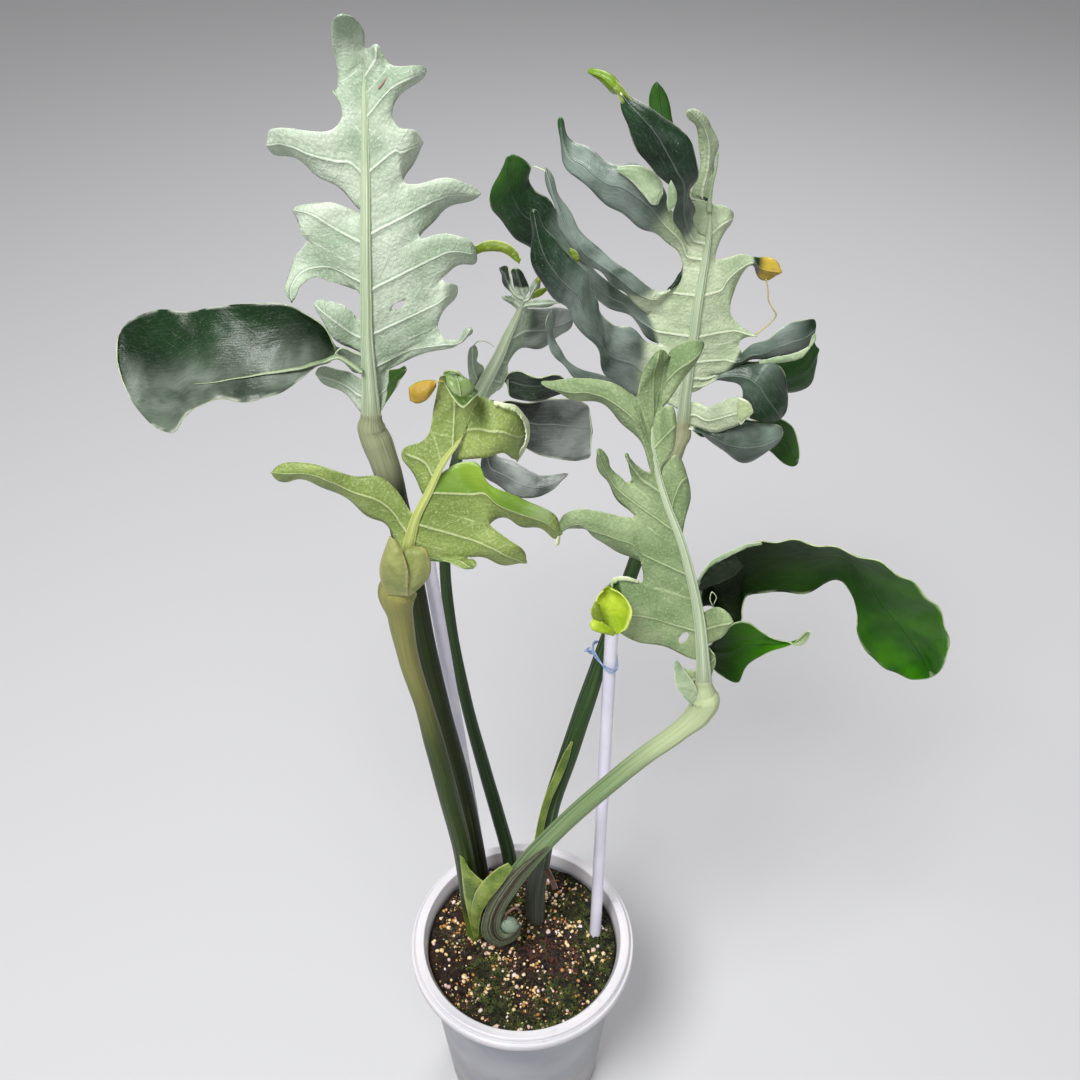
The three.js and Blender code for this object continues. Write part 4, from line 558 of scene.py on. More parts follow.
# Folds, curls, rags and flaps: (name, what it sits on, finish, bulge in mm, rows). A row is as a lobe's. On
# the crown its last two numbers are depths behind the pot's axis instead of lifts.
SCRAPS = [
    ("young_tip_fold", "leaf_young", "vivid", 1.5, [
        (444, 377, 444, 372, 12, 11), (447, 388, 449, 370, 17, 11), (454, 400, 457, 371, 18, 11),
        (463, 408, 465, 378, 18, 10), (471, 401, 473, 386, 17, 9), (478, 394, 478, 391, 12, 8),
    ]),
    ("young_withered_tip", "leaf_young", "withered", 3, [
        (436, 386, 436, 381, 10, 10), (431, 394, 430, 380, 11, 11), (424, 401, 422, 381, 11, 11),
        (416, 403, 414, 384, 11, 11), (410, 400, 409, 388, 11, 11),
    ]),
    ("young_lobe_rim", "leaf_young", "rag", 0.6, [
        (494, 405, 494, 401, 6, 6), (503, 408, 503, 403, 6, 6), (513, 411, 514, 405, 5, 4),
        (521, 419, 523, 414, 3, 1), (525, 429, 529, 425, -1, -4), (525, 440, 529, 438, -2, -5),
        (520, 450, 524, 451, -3, -5), (515, 459, 517, 462, -4, -6),
    ]),
    ("young_arm_rim", "leaf_young", "rag", 0.5, [
        (552, 534, 556, 527, -3, -4), (553, 539, 559, 531, -3, -4), (554, 544, 560, 538, -3, -4),
        (556, 546, 559, 544, -3, -4),
    ]),
    ("young_knee_side", "crown", "knee", 3, [
        (390, 536, 397, 541, -29, -29), (384, 552, 404, 556, -29, -33), (380, 568, 408, 570, -29, -35),
        (382, 583, 408, 586, -29, -34), (388, 595, 408, 596, -29, -32),
    ]),
    ("young_knee_flap", "crown", "knee", 2.5, [
        (403, 552, 413, 546, -30, -26), (403, 563, 425, 549, -32, -28), (403, 574, 430, 560, -33, -29),
        (405, 584, 429, 576, -33, -30), (407, 591, 420, 587, -32, -31), (409, 596, 412, 594, -31, -31),
    ]),
    ("front_bowl", "leaf_front_right", "lime", -7, [
        (603, 591, 611, 589, 12, 12), (598, 596, 621, 594, 12, 13), (595, 604, 628, 602, 13, 14),
        (596, 613, 632, 611, 14, 15), (599, 621, 630, 621, 14, 15), (604, 629, 625, 630, 14, 14),
        (610, 634, 618, 634, 13, 13),
    ]),
    ("front_bowl_petal", "leaf_front_right", "olive", 1.5, [
        (595, 601, 599, 604, 15, 15), (591, 609, 601, 610, 16, 15), (593, 618, 604, 618, 16, 15),
        (598, 624, 605, 623, 16, 15), (603, 628, 605, 627, 16, 15),
    ]),
    ("front_bowl_lip", "leaf_front_right", "lime", 1.5, [
        (590, 623, 592, 619, 17, 16), (591, 628, 600, 620, 18, 16), (598, 632, 606, 625, 18, 16),
        (607, 634, 612, 629, 17, 16), (613, 636, 616, 632, 16, 15),
    ]),
    ("front_shoulder_rim", "leaf_front_right", "rag", 0.6, [
        (612, 590, 611, 585, 6, 6), (614, 584, 612, 579, 6, 6), (620, 581, 620, 576, 5, 5),
        (629, 581, 629, 577, 5, 5), (638, 583, 639, 581, 4, 4),
    ]),
    ("front_arm_fold", "leaf_front_right", "deep", 0.6, [
        (697, 591, 697, 586, 0, 0), (707, 587, 703, 574, -1, -1), (722, 582, 711, 565, -1, -1),
        (736, 574, 722, 559, -1, -1), (744, 566, 735, 552, -1, -1),
    ]),
    ("front_arm_rim", "leaf_front_right", "silver", 0.6, [
        (697, 587, 696, 583, 2, 2), (703, 575, 702, 572, 0, 0), (711, 566, 710, 562, -1, -1),
        (722, 560, 721, 555, 0, 0), (735, 553, 734, 549, 3, 3), (748, 547, 747, 544, 6, 6),
        (762, 544, 761, 542, 9, 9),
    ]),
    ("front_heel_lobe", "leaf_front_right", "silver", 1, [
        (675, 662, 677, 660, 3, 3), (674, 672, 686, 672, 3, 3), (676, 685, 694, 683, 3, 3),
        (683, 696, 698, 694, 2, 2), (691, 705, 699, 702, 1, 1),
    ]),
    ("right_folded_flap", "leaf_upper_right", "silver", 1, [
        (616, 170, 617, 167, 11, 11), (630, 180, 638, 165, 12, 12), (644, 195, 655, 173, 13, 13),
        (654, 205, 662, 182, 14, 14), (658, 204, 663, 194, 14, 14),
    ]),
    ("right_tongue", "leaf_upper_right", "silver", 0.8, [
        (669, 184, 671, 180, 23, 23), (668, 193, 676, 191, 23, 23), (667, 204, 676, 203, 23, 23),
        (669, 212, 671, 210, 23, 23),
    ]),
    ("right_tip_neck", "leaf_upper_right", "olive", 0.8, [
        (622, 104, 634, 103, 19, 19), (618, 95, 628, 95, 18, 18), (614, 89, 622, 87, 17, 17),
        (610, 84, 616, 80, 16, 16),
    ]),
    ("right_crescent_rim", "leaf_upper_right", "silver", 0.8, [
        (759, 364, 759, 361, 4, 4), (775, 363, 776, 357, 5, 5), (790, 361, 791, 354, 5, 5),
        (802, 357, 806, 348, 5, 5), (809, 346, 815, 341, 5, 5), (812, 336, 816, 332, 5, 5),
    ]),
    ("right_pale_rag", "leaf_upper_right", "rag", 0.8, [
        (737, 427, 738, 397, 12, 12), (744, 424, 746, 400, 13, 13), (749, 418, 750, 405, 13, 13),
        (753, 413, 753, 410, 13, 13),
    ]),
    ("right_yellow_bit", "leaf_upper_right", "olive", 0.6, [
        (568, 252, 570, 248, 9, 9), (573, 258, 576, 251, 10, 10), (577, 262, 580, 259, 10, 10),
    ]),
    ("back_olive_bit", "leaf_middle_back", "olive", 0.5, [
        (532, 299, 534, 292, 5, 5), (540, 296, 541, 288, 5, 5), (548, 290, 547, 287, 5, 5),
    ]),
    ("left_olive_tip", "leaf_upper_left", "olive", 1.5, [
        (466, 262, 474, 246, -2, -2), (482, 252, 487, 241, -1, -1), (496, 251, 498, 241, 0, 0),
        (505, 253, 508, 244, 1, 1),
        (512, 258, 516, 250, 2, 2), (519, 264, 521, 259, 3, 3),
    ]),
    ("left_scar", "leaf_upper_left", "scar", 0.2, [
        (378, 89, 380, 85, 0.6, 0.6), (380, 87, 384, 82, 0.6, 0.6), (383, 83, 386, 78, 0.6, 0.6),
        (386, 79, 387, 76, 0.6, 0.6),
    ]),
    ("crown_sheath", "crown", "sheath", 1.5, [
        (460, 855, 463, 857, -7, -7), (461, 866, 469, 868, -8, -9), (462, 875, 479, 878, -8, -10),
        (463, 887, 489, 886, -7, -12), (465, 900, 489, 899, -6, -13), (468, 913, 482, 912, -5, -12),
        (471, 926, 480, 923, -3, -9), (474, 938, 478, 937, -1, -5),
    ]),
    ("crown_flap", "crown", "sheath", 2, [
        (473, 926, 478, 930, -8, -9), (472, 906, 482, 912, -11, -13), (478, 888, 489, 900, -13, -15),
        (487, 877, 499, 888, -14, -16), (498, 868, 507, 877, -14, -15), (508, 863, 513, 868, -14, -14),
    ]),
    ("crown_clasp", "crown", "clasp", 3, [
        (549, 845, 556, 841, -12, -11), (534, 855, 546, 851, -13, -12), (519, 866, 536, 862, -13, -12),
        (506, 879, 527, 873, -13, -12), (495, 892, 519, 886, -13, -12),
        (487, 906, 509, 901, -12, -12), (482, 921, 503, 913, -11, -11), (482, 934, 501, 922, -10, -10),
        (489, 943, 502, 930, -9, -9), (499, 946, 506, 934, -8, -9), (510, 943, 511, 933, -8, -9),
        (519, 935, 516, 928, -8, -9), (521, 925, 517, 921, -8, -9),
    ]),
    ("crown_bract", "crown", "bract", 0.8, [
        (544, 871, 549, 868, 13, 13), (550, 881, 554, 878, 11, 11), (553, 890, 558, 888, 10, 10),
    ]),
    ("right_petiole_sheath", "crown", "sheath", 0.8, [
        (534, 842, 541, 842, 20, 20), (539, 817, 546, 818, 24, 24), (545, 796, 552, 798, 27, 27),
        (553, 777, 560, 781, 31, 31), (562, 757, 568, 761, 35, 35), (571, 741, 573, 742, 38, 38),
    ]),
]

# Thin threads where a margin has torn, and raised veins: (name, leaf, finish, widths in mm at its two ends,
# places with their lifts).
THREADS = [
    ("young_thread", "leaf_young", "dry", (0.8, 0.8), [(434, 383, 11), (440, 381, 10), (446, 383, 9)]),
    ("front_tendril", "leaf_front_right", "rag", (0.6, 0.5), [
        (713, 606, 4), (710, 599, 5), (712, 592, 5), (716, 596, 5), (714, 604, 4),
    ]),
    ("right_margin_thread", "leaf_upper_right", "dry", (0.8, 1.1), [
        (766, 279, 5), (768, 290, 5), (769, 302, 5), (773, 309, 6), (776, 314, 6), (771, 322, 5),
        (764, 328, 4), (756, 334, 3), (744, 337, 2),
    ]),
    ("right_tip_thread", "leaf_upper_right", "rag", (0.8, 0.6), [
        (549, 178, 4), (545, 171, 4), (539, 168, 4), (534, 166, 4),
    ]),
    ("right_end_vein", "leaf_upper_right", "silver", (2.4, 1), [
        (709, 212, 2), (710, 198, 2), (712, 185, 2.5), (716, 168, 3), (718, 152, 4),
    ]),
    ("left_lobe_vein", "leaf_upper_left", "vein", (3.6, 0.3), [
        (362, 372, 5), (349, 363, 5.5), (337, 357, 6.5), (325, 361, 8), (310, 365, 12.8),
        (303, 367.5, 14.6), (289, 370, 16.2), (277, 372, 17.5), (262, 374, 18.4), (246, 377, 19.5),
        (232, 379, 21), (217, 382, 22.4), (194, 384, 20.3),
    ]),
    ("back_thread", "leaf_middle_back", "rag", (0.7, 0.5), [
        (473, 351, 1), (474, 345, 2), (480, 341, 3), (487, 342, 3), (494, 347, 2),
    ]),
]


# ---- the sheet, the eye and smooth lines ---------------------------------------------------------


def sight_line(x, y):
    across = (x - SHEET / 2) / FOCAL
    up = (SHEET / 2 - y) / FOCAL
    return AHEAD + OVERHEAD * up + Vector((across, 0, 0))


def seen_on_plane(x, y, point, normal):
    """The point of a plane that the eye sees at a place of the sheet."""
    line = sight_line(x, y)
    return EYE + line * ((point - EYE).dot(normal) / line.dot(normal))


def seen_at_depth(x, y, depth):
    return seen_on_plane(x, y, Vector((0, depth, 0)), Vector((0, 1, 0)))


class Course:
    """A smooth line through points. at(1.5) is halfway from the second point to the third."""

    def __init__(self, points):
        self.points = [Vector(point) for point in points]
        steps = [q - p for p, q in zip(self.points, self.points[1:])]
        self.lengths = [max(step.length, 1e-6) for step in steps]
        ways = [step / length for step, length in zip(steps, self.lengths)]
        self.ways = [ways[0]]
        for i in range(1, len(ways)):
            share = self.lengths[i - 1] / (self.lengths[i - 1] + self.lengths[i])
            self.ways.append(ways[i - 1].lerp(ways[i], share))
        self.ways.append(ways[-1])

    def at(self, t):
        i = max(0, min(int(t), len(self.lengths) - 1))
        s = t - i
        p, q = self.points[i], self.points[i + 1]
        m, n = self.ways[i] * self.lengths[i], self.ways[i + 1] * self.lengths[i]
        return (
            p * (2 * s**3 - 3 * s**2 + 1) + m * (s**3 - 2 * s**2 + s)
            + q * (3 * s**2 - 2 * s**3) + n * (s**3 - s**2)
        )

    def way(self, t):
        step = 1e-3
        last = len(self.lengths)
        return (self.at(min(t + step, last)) - self.at(max(t - step, 0))).normalized()


def smooth_step(value):
    value = max(0.0, min(1.0, value))
    return value * value * (3 - 2 * value)


def quarter_turn(steps):
    """Angles from 0 to a quarter turn."""
    return [math.pi / 2 * step / steps for step in range(steps + 1)]


# ---- meshes --------------------------------------------------------------------------------------


def grid_patch(bm, columns, rows, surface):
    """A grid whose corners go to surface(u, v), which gives a point in mm and its place on the UV map."""
    layer = bm.loops.layers.uv.verify()
    made = bmesh.ops.create_grid(bm, x_segments=columns, y_segments=rows, size=1)["verts"]
    spots = {}
    for vert in made:
        point, spots[vert] = surface((vert.co.x + 1) / 2, (vert.co.y + 1) / 2)
        vert.co = point * MM
    for face in {face for vert in made for face in vert.link_faces}:
        for loop in face.loops:
            loop[layer].uv = spots[loop.vert]
    return made


def tube(bm, course, size_at, sides, rows, front, shape=None):
    """A closed tube along a course. size_at(t) gives its width and thickness in mm, front is roughly the
    way that its thickness points, and shape(turn, t) scales the radius round it. The UV map holds the
    share of the way round, and mm along / 100."""
    last = len(course.lengths)
    stations = []
    run = 0
    for row in range(rows + 1):
        t = last * row / rows
        way = course.way(t)
        across = front.cross(way).normalized()
        outward = way.cross(across).normalized()
        centre = course.at(t)
        run += (centre - stations[-1][1]).length if stations else 0
        width, thickness = size_at(t)
        stations.append((t, centre, across * width / 2, outward * thickness / 2, run))

    def surface(u, v):
        t, centre, across, outward, run = stations[round(v * rows)]
        turn = 2 * math.pi * u
        scale = shape(turn, t) if shape else 1
        return centre + (across * math.cos(turn) + outward * math.sin(turn)) * scale, (u, run / 100)

    made = grid_patch(bm, sides, rows, surface)
    bmesh.ops.remove_doubles(bm, verts=made, dist=SAME_SPOT)
    rims = [edge for vert in made if vert.is_valid for edge in vert.link_edges if edge.is_boundary]
    bmesh.ops.holes_fill(bm, edges=list(set(rims)), sides=0)


def turned_profile(bm, profile, steps):
    """Spins a profile of (radius, height) in mm round the upright axis."""
    verts = [bm.verts.new((radius * MM, 0, height * MM)) for radius, height in profile]
    edges = [bm.edges.new(pair) for pair in zip(verts, verts[1:])]
    bmesh.ops.spin(
        bm, geom=verts + edges, cent=(0, 0, 0), axis=(0, 0, 1), angle=2 * math.pi, steps=steps,
        use_merge=True, use_duplicate=False,
    )
    bmesh.ops.remove_doubles(bm, verts=bm.verts[:], dist=SAME_SPOT)
    bmesh.ops.recalc_face_normals(bm, faces=bm.faces[:])


def scatter(bm, places, add_one, batch=40):
    """Adds one small shape at each place, in batches, because an operator walks its whole mesh."""
    holder = bpy.data.meshes.new("batch")
    for start in range(0, len(places), batch):
        few = bmesh.new()
        for place in places[start:start + batch]:
            add_one(few, place)
        few.to_mesh(holder)
        few.free()
        bm.from_mesh(holder)
    bpy.data.meshes.remove(holder)


def turned_twice(about_z, about_x):
    return Matrix.Rotation(about_z, 4, "Z") @ Matrix.Rotation(about_x, 4, "X")


def new_object(name, data):
    made = bpy.data.objects.new(name, data)
    bpy.context.scene.collection.objects.link(made)
    return made


def new_mesh(name, bm):
    mesh = bpy.data.meshes.new(name)
    bm.to_mesh(mesh)
    bm.free()
    return mesh


def finished(name, bm, materials, slot, node=None, smooth=True):
    """Turns a bmesh into a piece of the plant that rides on its body."""
    for face in bm.faces:
        face.smooth = smooth
    piece = new_object(name, new_mesh(name, bm))
    for material in materials:
        piece.data.materials.append(material)
    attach(piece, "root")
    if node:
        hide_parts(node)
    return piece


def thicken(piece, offset, back=0, rim=0):
    """Gives a sheet its thickness. back and rim are the materials of its far side and of its edge."""
    wall = piece.modifiers.new("thickness", "SOLIDIFY")
    wall.thickness = BLADE["thickness"] * MM
    wall.offset = offset
    wall.material_offset = back
    wall.material_offset_rim = rim


# ---- finishes ------------------------------------------------------------------------------------

# A mix node's colours have the same names as its plain numbers, so its sockets are told by their places.
MIX_SHARE, MIX_FIRST, MIX_SECOND, MIX_COLOUR = 0, 6, 7, 2
ATTRIBUTE_NUMBER = 2


def paint(tone):
    """A tone as a shader takes it: a socket as it is, and a colour from 0 to 255 made a linear one."""
    if isinstance(tone, bpy.types.NodeSocket):
        return tone

    def linear(value):
        share = value / 255
        return share / 12.92 if share <= 0.04045 else ((share + 0.055) / 1.055) ** 2.4

    return (*(linear(value) for value in tone), 1)


class Finish:
    """A material, with short calls for the nodes that vary it."""

    def __init__(self, name, roughness=0.5, **settings):
        self.material = bpy.data.materials.new(name)
        self.material.use_nodes = True
        self.tree = self.material.node_tree
        self.shader = self.tree.nodes["Principled BSDF"]
        self.shader.inputs["Roughness"].default_value = roughness
        for socket, value in settings.items():
            self.shader.inputs[socket.replace("_", " ")].default_value = value

    def put(self, kind, inputs, output=0, **settings):
        node = self.tree.nodes.new(kind)
        for setting, value in settings.items():
            setattr(node, setting, value)
        for socket, value in inputs.items():
            self.join(value, node.inputs[socket])
        return node.outputs[output]

    def join(self, value, socket):
        if isinstance(value, bpy.types.NodeSocket):
            self.tree.links.new(value, socket)
        else:
            socket.default_value = value

    def place(self, stretch=(1, 1, 1)):
        """Object coordinates in metres, stretched."""
        where = self.put("ShaderNodeTexCoord", {}, output="Object")
        return self.put("ShaderNodeMapping", {"Vector": where, "Scale": stretch})

    def uv(self):
        """The two coordinates of the piece's UV map."""
        node = self.tree.nodes.new("ShaderNodeSeparateXYZ")
        self.join(self.put("ShaderNodeUVMap", {}), node.inputs[0])
        return node.outputs[0], node.outputs[1]

    def attribute(self, name):
        return self.put("ShaderNodeAttribute", {}, output=ATTRIBUTE_NUMBER, attribute_name=name)

    def reckon(self, operation, *values):
        return self.put("ShaderNodeMath", dict(enumerate(values)), operation=operation)

    def plus(self, first, second):
        return self.reckon("ADD", first, second)

    def times(self, first, second):
        return self.reckon("MULTIPLY", first, second)

    def scaled(self, value, factor, offset):
        return self.reckon("MULTIPLY_ADD", value, factor, offset)

    def spread(self, value, low, high, start=0.0, end=1.0):
        """Value from low to high made start to end, smoothly."""
        return self.put(
            "ShaderNodeMapRange",
            {"Value": value, "From Min": low, "From Max": high, "To Min": start, "To Max": end},
            interpolation_type="SMOOTHSTEP",
        )

    def blend(self, share, first, second):
        sockets = {MIX_SHARE: share, MIX_FIRST: paint(first), MIX_SECOND: paint(second)}
        return self.put("ShaderNodeMix", sockets, output=MIX_COLOUR, data_type="RGBA")

    def coats(self, tone, *coats):
        """Lays coats over a tone, one after another. A coat is (share, tone)."""
        for share, coat in coats:
            tone = self.blend(share, tone, coat)
        return tone

    def cloud(self, vector, scale, detail=3.0, distortion=0.0):
        return self.put(
            "ShaderNodeTexNoise",
            {"Vector": vector, "Scale": scale, "Detail": detail, "Distortion": distortion},
        )

    def cells(self, vector, scale):
        return self.put("ShaderNodeTexVoronoi", {"Vector": vector, "Scale": scale})

    def bump(self, height, depth, strength=1.0):
        return self.put("ShaderNodeBump", {"Height": height, "Distance": depth * MM, "Strength": strength})

    def done(self, tone, normal=None, roughness=None):
        self.join(paint(tone), self.shader.inputs["Base Color"])
        for socket, value in (("Normal", normal), ("Roughness", roughness)):
            if value is not None:
                self.join(value, self.shader.inputs[socket])
        return self.material


class LeafSide(Finish):
    """The skin of one face of a blade. The UV map holds the distance from the lobe's vein and along it,
    in mm / 100."""

    def __init__(self, name, gloss):
        super().__init__(name, 0.5, Specular_IOR_Level=gloss)
        self.where = self.place()
        across, along = self.uv()
        self.mottle = self.cloud(self.where, 40, 4)
        self.drift = self.cloud(self.where, 90, 2)
        self.pebble = self.cells(self.where, 560)
        self.grain = self.cloud(self.where, 900, 4)
        lengthways = self.put("ShaderNodeCombineXYZ", {0: across, 1: self.times(along, 0.12)})
        self.fibre = self.cloud(lengthways, 110, 4)
        self.draw_veins(self.reckon("ABSOLUTE", across), along)

    def draw_veins(self, aside, along):
        """The lobe's vein, the furrow on each side of it, and its branches, each as a share."""
        veined = self.attribute("veined")
        slim = self.times(aside, self.scaled(along, 0.9, 0.75))
        self.ridge = self.times(self.spread(slim, 0.002, 0.0075, 1.0, 0.0), veined)
        beside = self.times(self.spread(slim, 0.006, 0.009), self.spread(slim, 0.01, 0.022, 1.0, 0.0))
        self.furrow = self.times(beside, veined)
        slant = self.scaled(aside, -0.8, self.scaled(self.drift, 0.045, along))
        self.branch = self.spread(self.reckon("PINGPONG", slant, 0.034), 0.001, 0.0055, 1.0, 0.0)

    def silver_back(self, shade, colour, vein):
        """Matt, finely pebbled silver. The darker furrow beside the vein is painted shade, and the vein's
        pale ridge is partly its own paler colour and partly painted highlight.
        """
        return self.coats(
            self.blend(self.spread(self.mottle, 0.3, 0.7), shade, colour),
            (self.spread(self.pebble, 0.25, 0.75, 0.0, 0.3), shade),
            (self.spread(self.grain, 0.5, 0.75, 0.0, 0.34), vein),
            (self.spread(self.fibre, 0.5, 0.72, 0.0, 0.22), shade),
            (self.times(self.branch, 0.1), vein),
            # Painted shade in the furrows beside the vein, then the vein's pale ridge, partly painted
            # highlight.
            (self.times(self.furrow, 0.55), shade),
            (self.times(self.ridge, 0.45), vein),
        )

    def dark_side(self, deep, green, bloom_and_sheen, fresh, lime):
        """Dark and glossy green under bloom_and_sheen, a grey bloom of its own with painted sheen (the
        bright sky reflected in the gloss), and its dust; fresh or lime green in places. The vein's lighter
        ridge is partly painted highlight.
        """
        where = self.where
        # The grey mist is partly the leaf's own silvery bloom and partly painted sheen: the bright sky
        # reflected in the gloss.
        sheen_mist = self.spread(self.cloud(where, 30, 6, 0.6), 0.34, 0.66, 0.12, 0.8)
        dusty = self.spread(self.cloud(where, 70, 2), 0.5, 0.6, 0.0, 0.5)
        dust = self.spread(self.cells(where, 340), 0.05, 0.13, 1.0, 0.0)
        patches = self.spread(self.mottle, 0.3, 0.7)
        return self.coats(
            self.blend(self.spread(self.cloud(where, 22, 3), 0.36, 0.7), deep, green),
            (self.times(self.attribute("bloom_and_sheen"), sheen_mist), bloom_and_sheen),
            (self.spread(self.grain, 0.56, 0.8, 0.0, 0.2), bloom_and_sheen),
            (self.times(dust, dusty), bloom_and_sheen),
            (self.spread(self.fibre, 0.5, 0.8, 0.0, 0.13), bloom_and_sheen),
            (self.spread(self.fibre, 0.5, 0.3, 0.0, 0.22), deep),
            (self.times(self.branch, 0.03), bloom_and_sheen),
            (self.times(self.ridge, 0.25), bloom_and_sheen),
            (self.attribute("fresh"), self.blend(patches, *fresh)),
            (self.attribute("lime"), self.blend(patches, *lime)),
        )

    def rise(self, turned):
        """How far the skin stands out: pebbles on the silver side, fibres and veins on both."""
        pebbled = self.reckon("SUBTRACT", self.times(self.grain, 0.5), self.times(self.pebble, 0.6))
        height = self.times(pebbled, self.scaled(turned, -0.75, 1.0))
        height = self.plus(height, self.times(self.branch, self.scaled(turned, -0.16, 0.22)))
        height = self.plus(height, self.times(self.fibre, 0.5))
        return self.plus(height, self.times(self.ridge, 0.9))


def leaf_side(name, silver_out, silver, upper, fresh, lime, gloss):
    """One face of a blade, with its other side's looks where a lobe turns over. silver is (shade, colour,
    vein), upper is (deep, green, bloom_and_sheen), and fresh and lime are (shade, colour)."""
    side = LeafSide(name, gloss)
    turned = side.plus(side.attribute("turned"), side.scaled(side.mottle, 0.5, -0.25))
    turned = side.spread(turned, 0.3, 0.7)
    if not silver_out:
        turned = side.reckon("SUBTRACT", 1.0, turned)
    brown = side.blend(side.spread(side.mottle, 0.4, 0.6), (186, 162, 62), (150, 126, 46))
    margin = side.spread(side.attribute("margin"), 0.93, 1.0, 0.0, 0.5)
    skin = side.coats(
        side.silver_back(*silver),
        (turned, side.dark_side(*upper, fresh, lime)),
        (side.attribute("withered"), brown),
        (side.times(margin, side.spread(side.drift, 0.4, 0.6)), silver[2]),
    )
    matt = side.plus(side.scaled(turned, -0.16, 0.5), side.scaled(side.grain, 0.24, -0.12))
    return side.done(skin, side.bump(side.rise(turned), 0.42), matt)


def stalk_skin(name, dark, middle, pale, foot=None, head=None, stripes=0.4):
    """Skin of a midrib or petiole, with long fine streaks. foot and head are (tone, start, full) in
    mm / 100 along it. The UV map holds the share of the way round, and mm along / 100."""
    finish = Finish(name, 0.42, Specular_IOR_Level=0.16)
    way_round, along = finish.uv()
    angle = finish.times(way_round, 2 * math.pi)
    line = finish.put("ShaderNodeCombineXYZ", {
        0: finish.reckon("COSINE", angle), 1: finish.reckon("SINE", angle), 2: finish.times(along, 0.16),
    })
    streaks, threads = finish.cloud(line, 6, 3), finish.cloud(line, 19, 2)
    ends = [(finish.spread(along, start, full), tone) for tone, start, full in filter(None, (foot, head))]
    colour = finish.coats(
        finish.blend(finish.spread(finish.cloud(line, 1.6, 2), 0.36, 0.64), dark, middle),
        *ends,
        (finish.spread(streaks, 0.5, 0.72, 0.0, stripes), pale),
        (finish.spread(threads, 0.5, 0.7, 0.0, 0.35), dark),
        (finish.spread(finish.cloud(finish.place(), 300, 3), 0.62, 0.8, 0.0, 0.16), pale),
    )
    height = finish.plus(threads, finish.times(streaks, 1.5))
    return finish.done(colour, finish.bump(height, 0.4, 0.8))


def scrap_skin(name, shade, colour, rim, roughness=0.5):
    """A small piece of skin with a paler margin. The UV map holds the share of the way across it, and mm
    along / 100."""
    finish = Finish(name, roughness, Specular_IOR_Level=0.3)
    place = finish.place()
    aside = finish.reckon("ABSOLUTE", finish.reckon("SUBTRACT", finish.uv()[0], 0.5))
    colour = finish.coats(
        finish.blend(finish.spread(finish.cloud(place, 70, 4), 0.3, 0.7), shade, colour),
        (finish.spread(finish.cloud(place, 700, 3), 0.5, 0.8, 0.0, 0.3), rim),
        (finish.spread(aside, 0.38, 0.5, 0.0, 0.8), rim),
    )
    height = finish.plus(finish.cloud(place, 260, 3), finish.times(finish.cells(place, 600), -0.4))
    return finish.done(colour, finish.bump(height, 0.4, 0.8))


def plain_finish(name, base, other, scale, roughness=0.5, depth=0.3):
    """Two tones in clouds. scale is how fine the clouds are, per metre, and depth is their bump in mm."""
    finish = Finish(name, roughness)
    place = finish.place()
    cloud = finish.cloud(place, scale, 5)
    colour = finish.blend(finish.spread(cloud, 0.35, 0.7), base, other)
    height = finish.plus(cloud, finish.times(finish.cloud(place, scale * 9, 3), 0.4))
    return finish.done(colour, finish.bump(height, depth, 0.7))


def pot_plastic():
    """Pale lip, and the wall below it painted greyer as painted shade under the lip; splashes of soil, and
    blotches that grow browner towards the foot.
    """
    finish = Finish(
        "pot_plastic", 0.36, Specular_IOR_Level=0.4, Subsurface_Weight=0.1, Subsurface_Scale=0.004,
    )
    place = finish.place()
    height = finish.put("ShaderNodeSeparateXYZ", {0: place}, output=2)
    clouded = finish.spread(finish.cloud(place, 22, 5), 0.35, 0.7)
    # The wall is the lip's pale plastic painted greyer: painted shade under the overhanging lip.
    wall = finish.blend(clouded, (140, 142, 150), (160, 161, 167))
    lip = finish.blend(clouded, (204, 202, 208), (214, 211, 214))
    stained = finish.spread(finish.cloud(place, 34, 6, 0.8), 0.5, 0.75)
    # Blotches that grow browner towards the foot.
    brown_towards_foot = finish.times(finish.spread(height, 0.12, 0.02), stained)
    colour = finish.coats(
        wall,
        (finish.spread(height, 0.153, 0.156), lip),
        (finish.times(brown_towards_foot, 0.6), (140, 120, 94)),
        (finish.spread(finish.cloud(place, 120, 4), 0.62, 0.76, 0.0, 0.25), (148, 132, 110)),
    )
    ripple = finish.cloud(finish.place((1, 1, 0.06)), 160, 3)
    return finish.done(colour, finish.bump(ripple, 0.12, 0.5))


def potting_mix():
    """Dark peat with a green film and reddish patches."""
    finish = Finish("potting_mix", 0.9, Specular_IOR_Level=0.2)
    place = finish.place()
    colour = finish.coats(
        finish.blend(finish.spread(finish.cloud(place, 90, 6), 0.35, 0.7), (18, 13, 10), (48, 34, 24)),
        (finish.spread(finish.cloud(place, 60, 5), 0.5, 0.66, 0.0, 0.6), (44, 50, 20)),
        (finish.spread(finish.cloud(place, 24, 2), 0.58, 0.7, 0.0, 0.6), (82, 38, 28)),
    )
    return finish.done(colour, finish.bump(finish.cloud(place, 420, 8), 1.2))
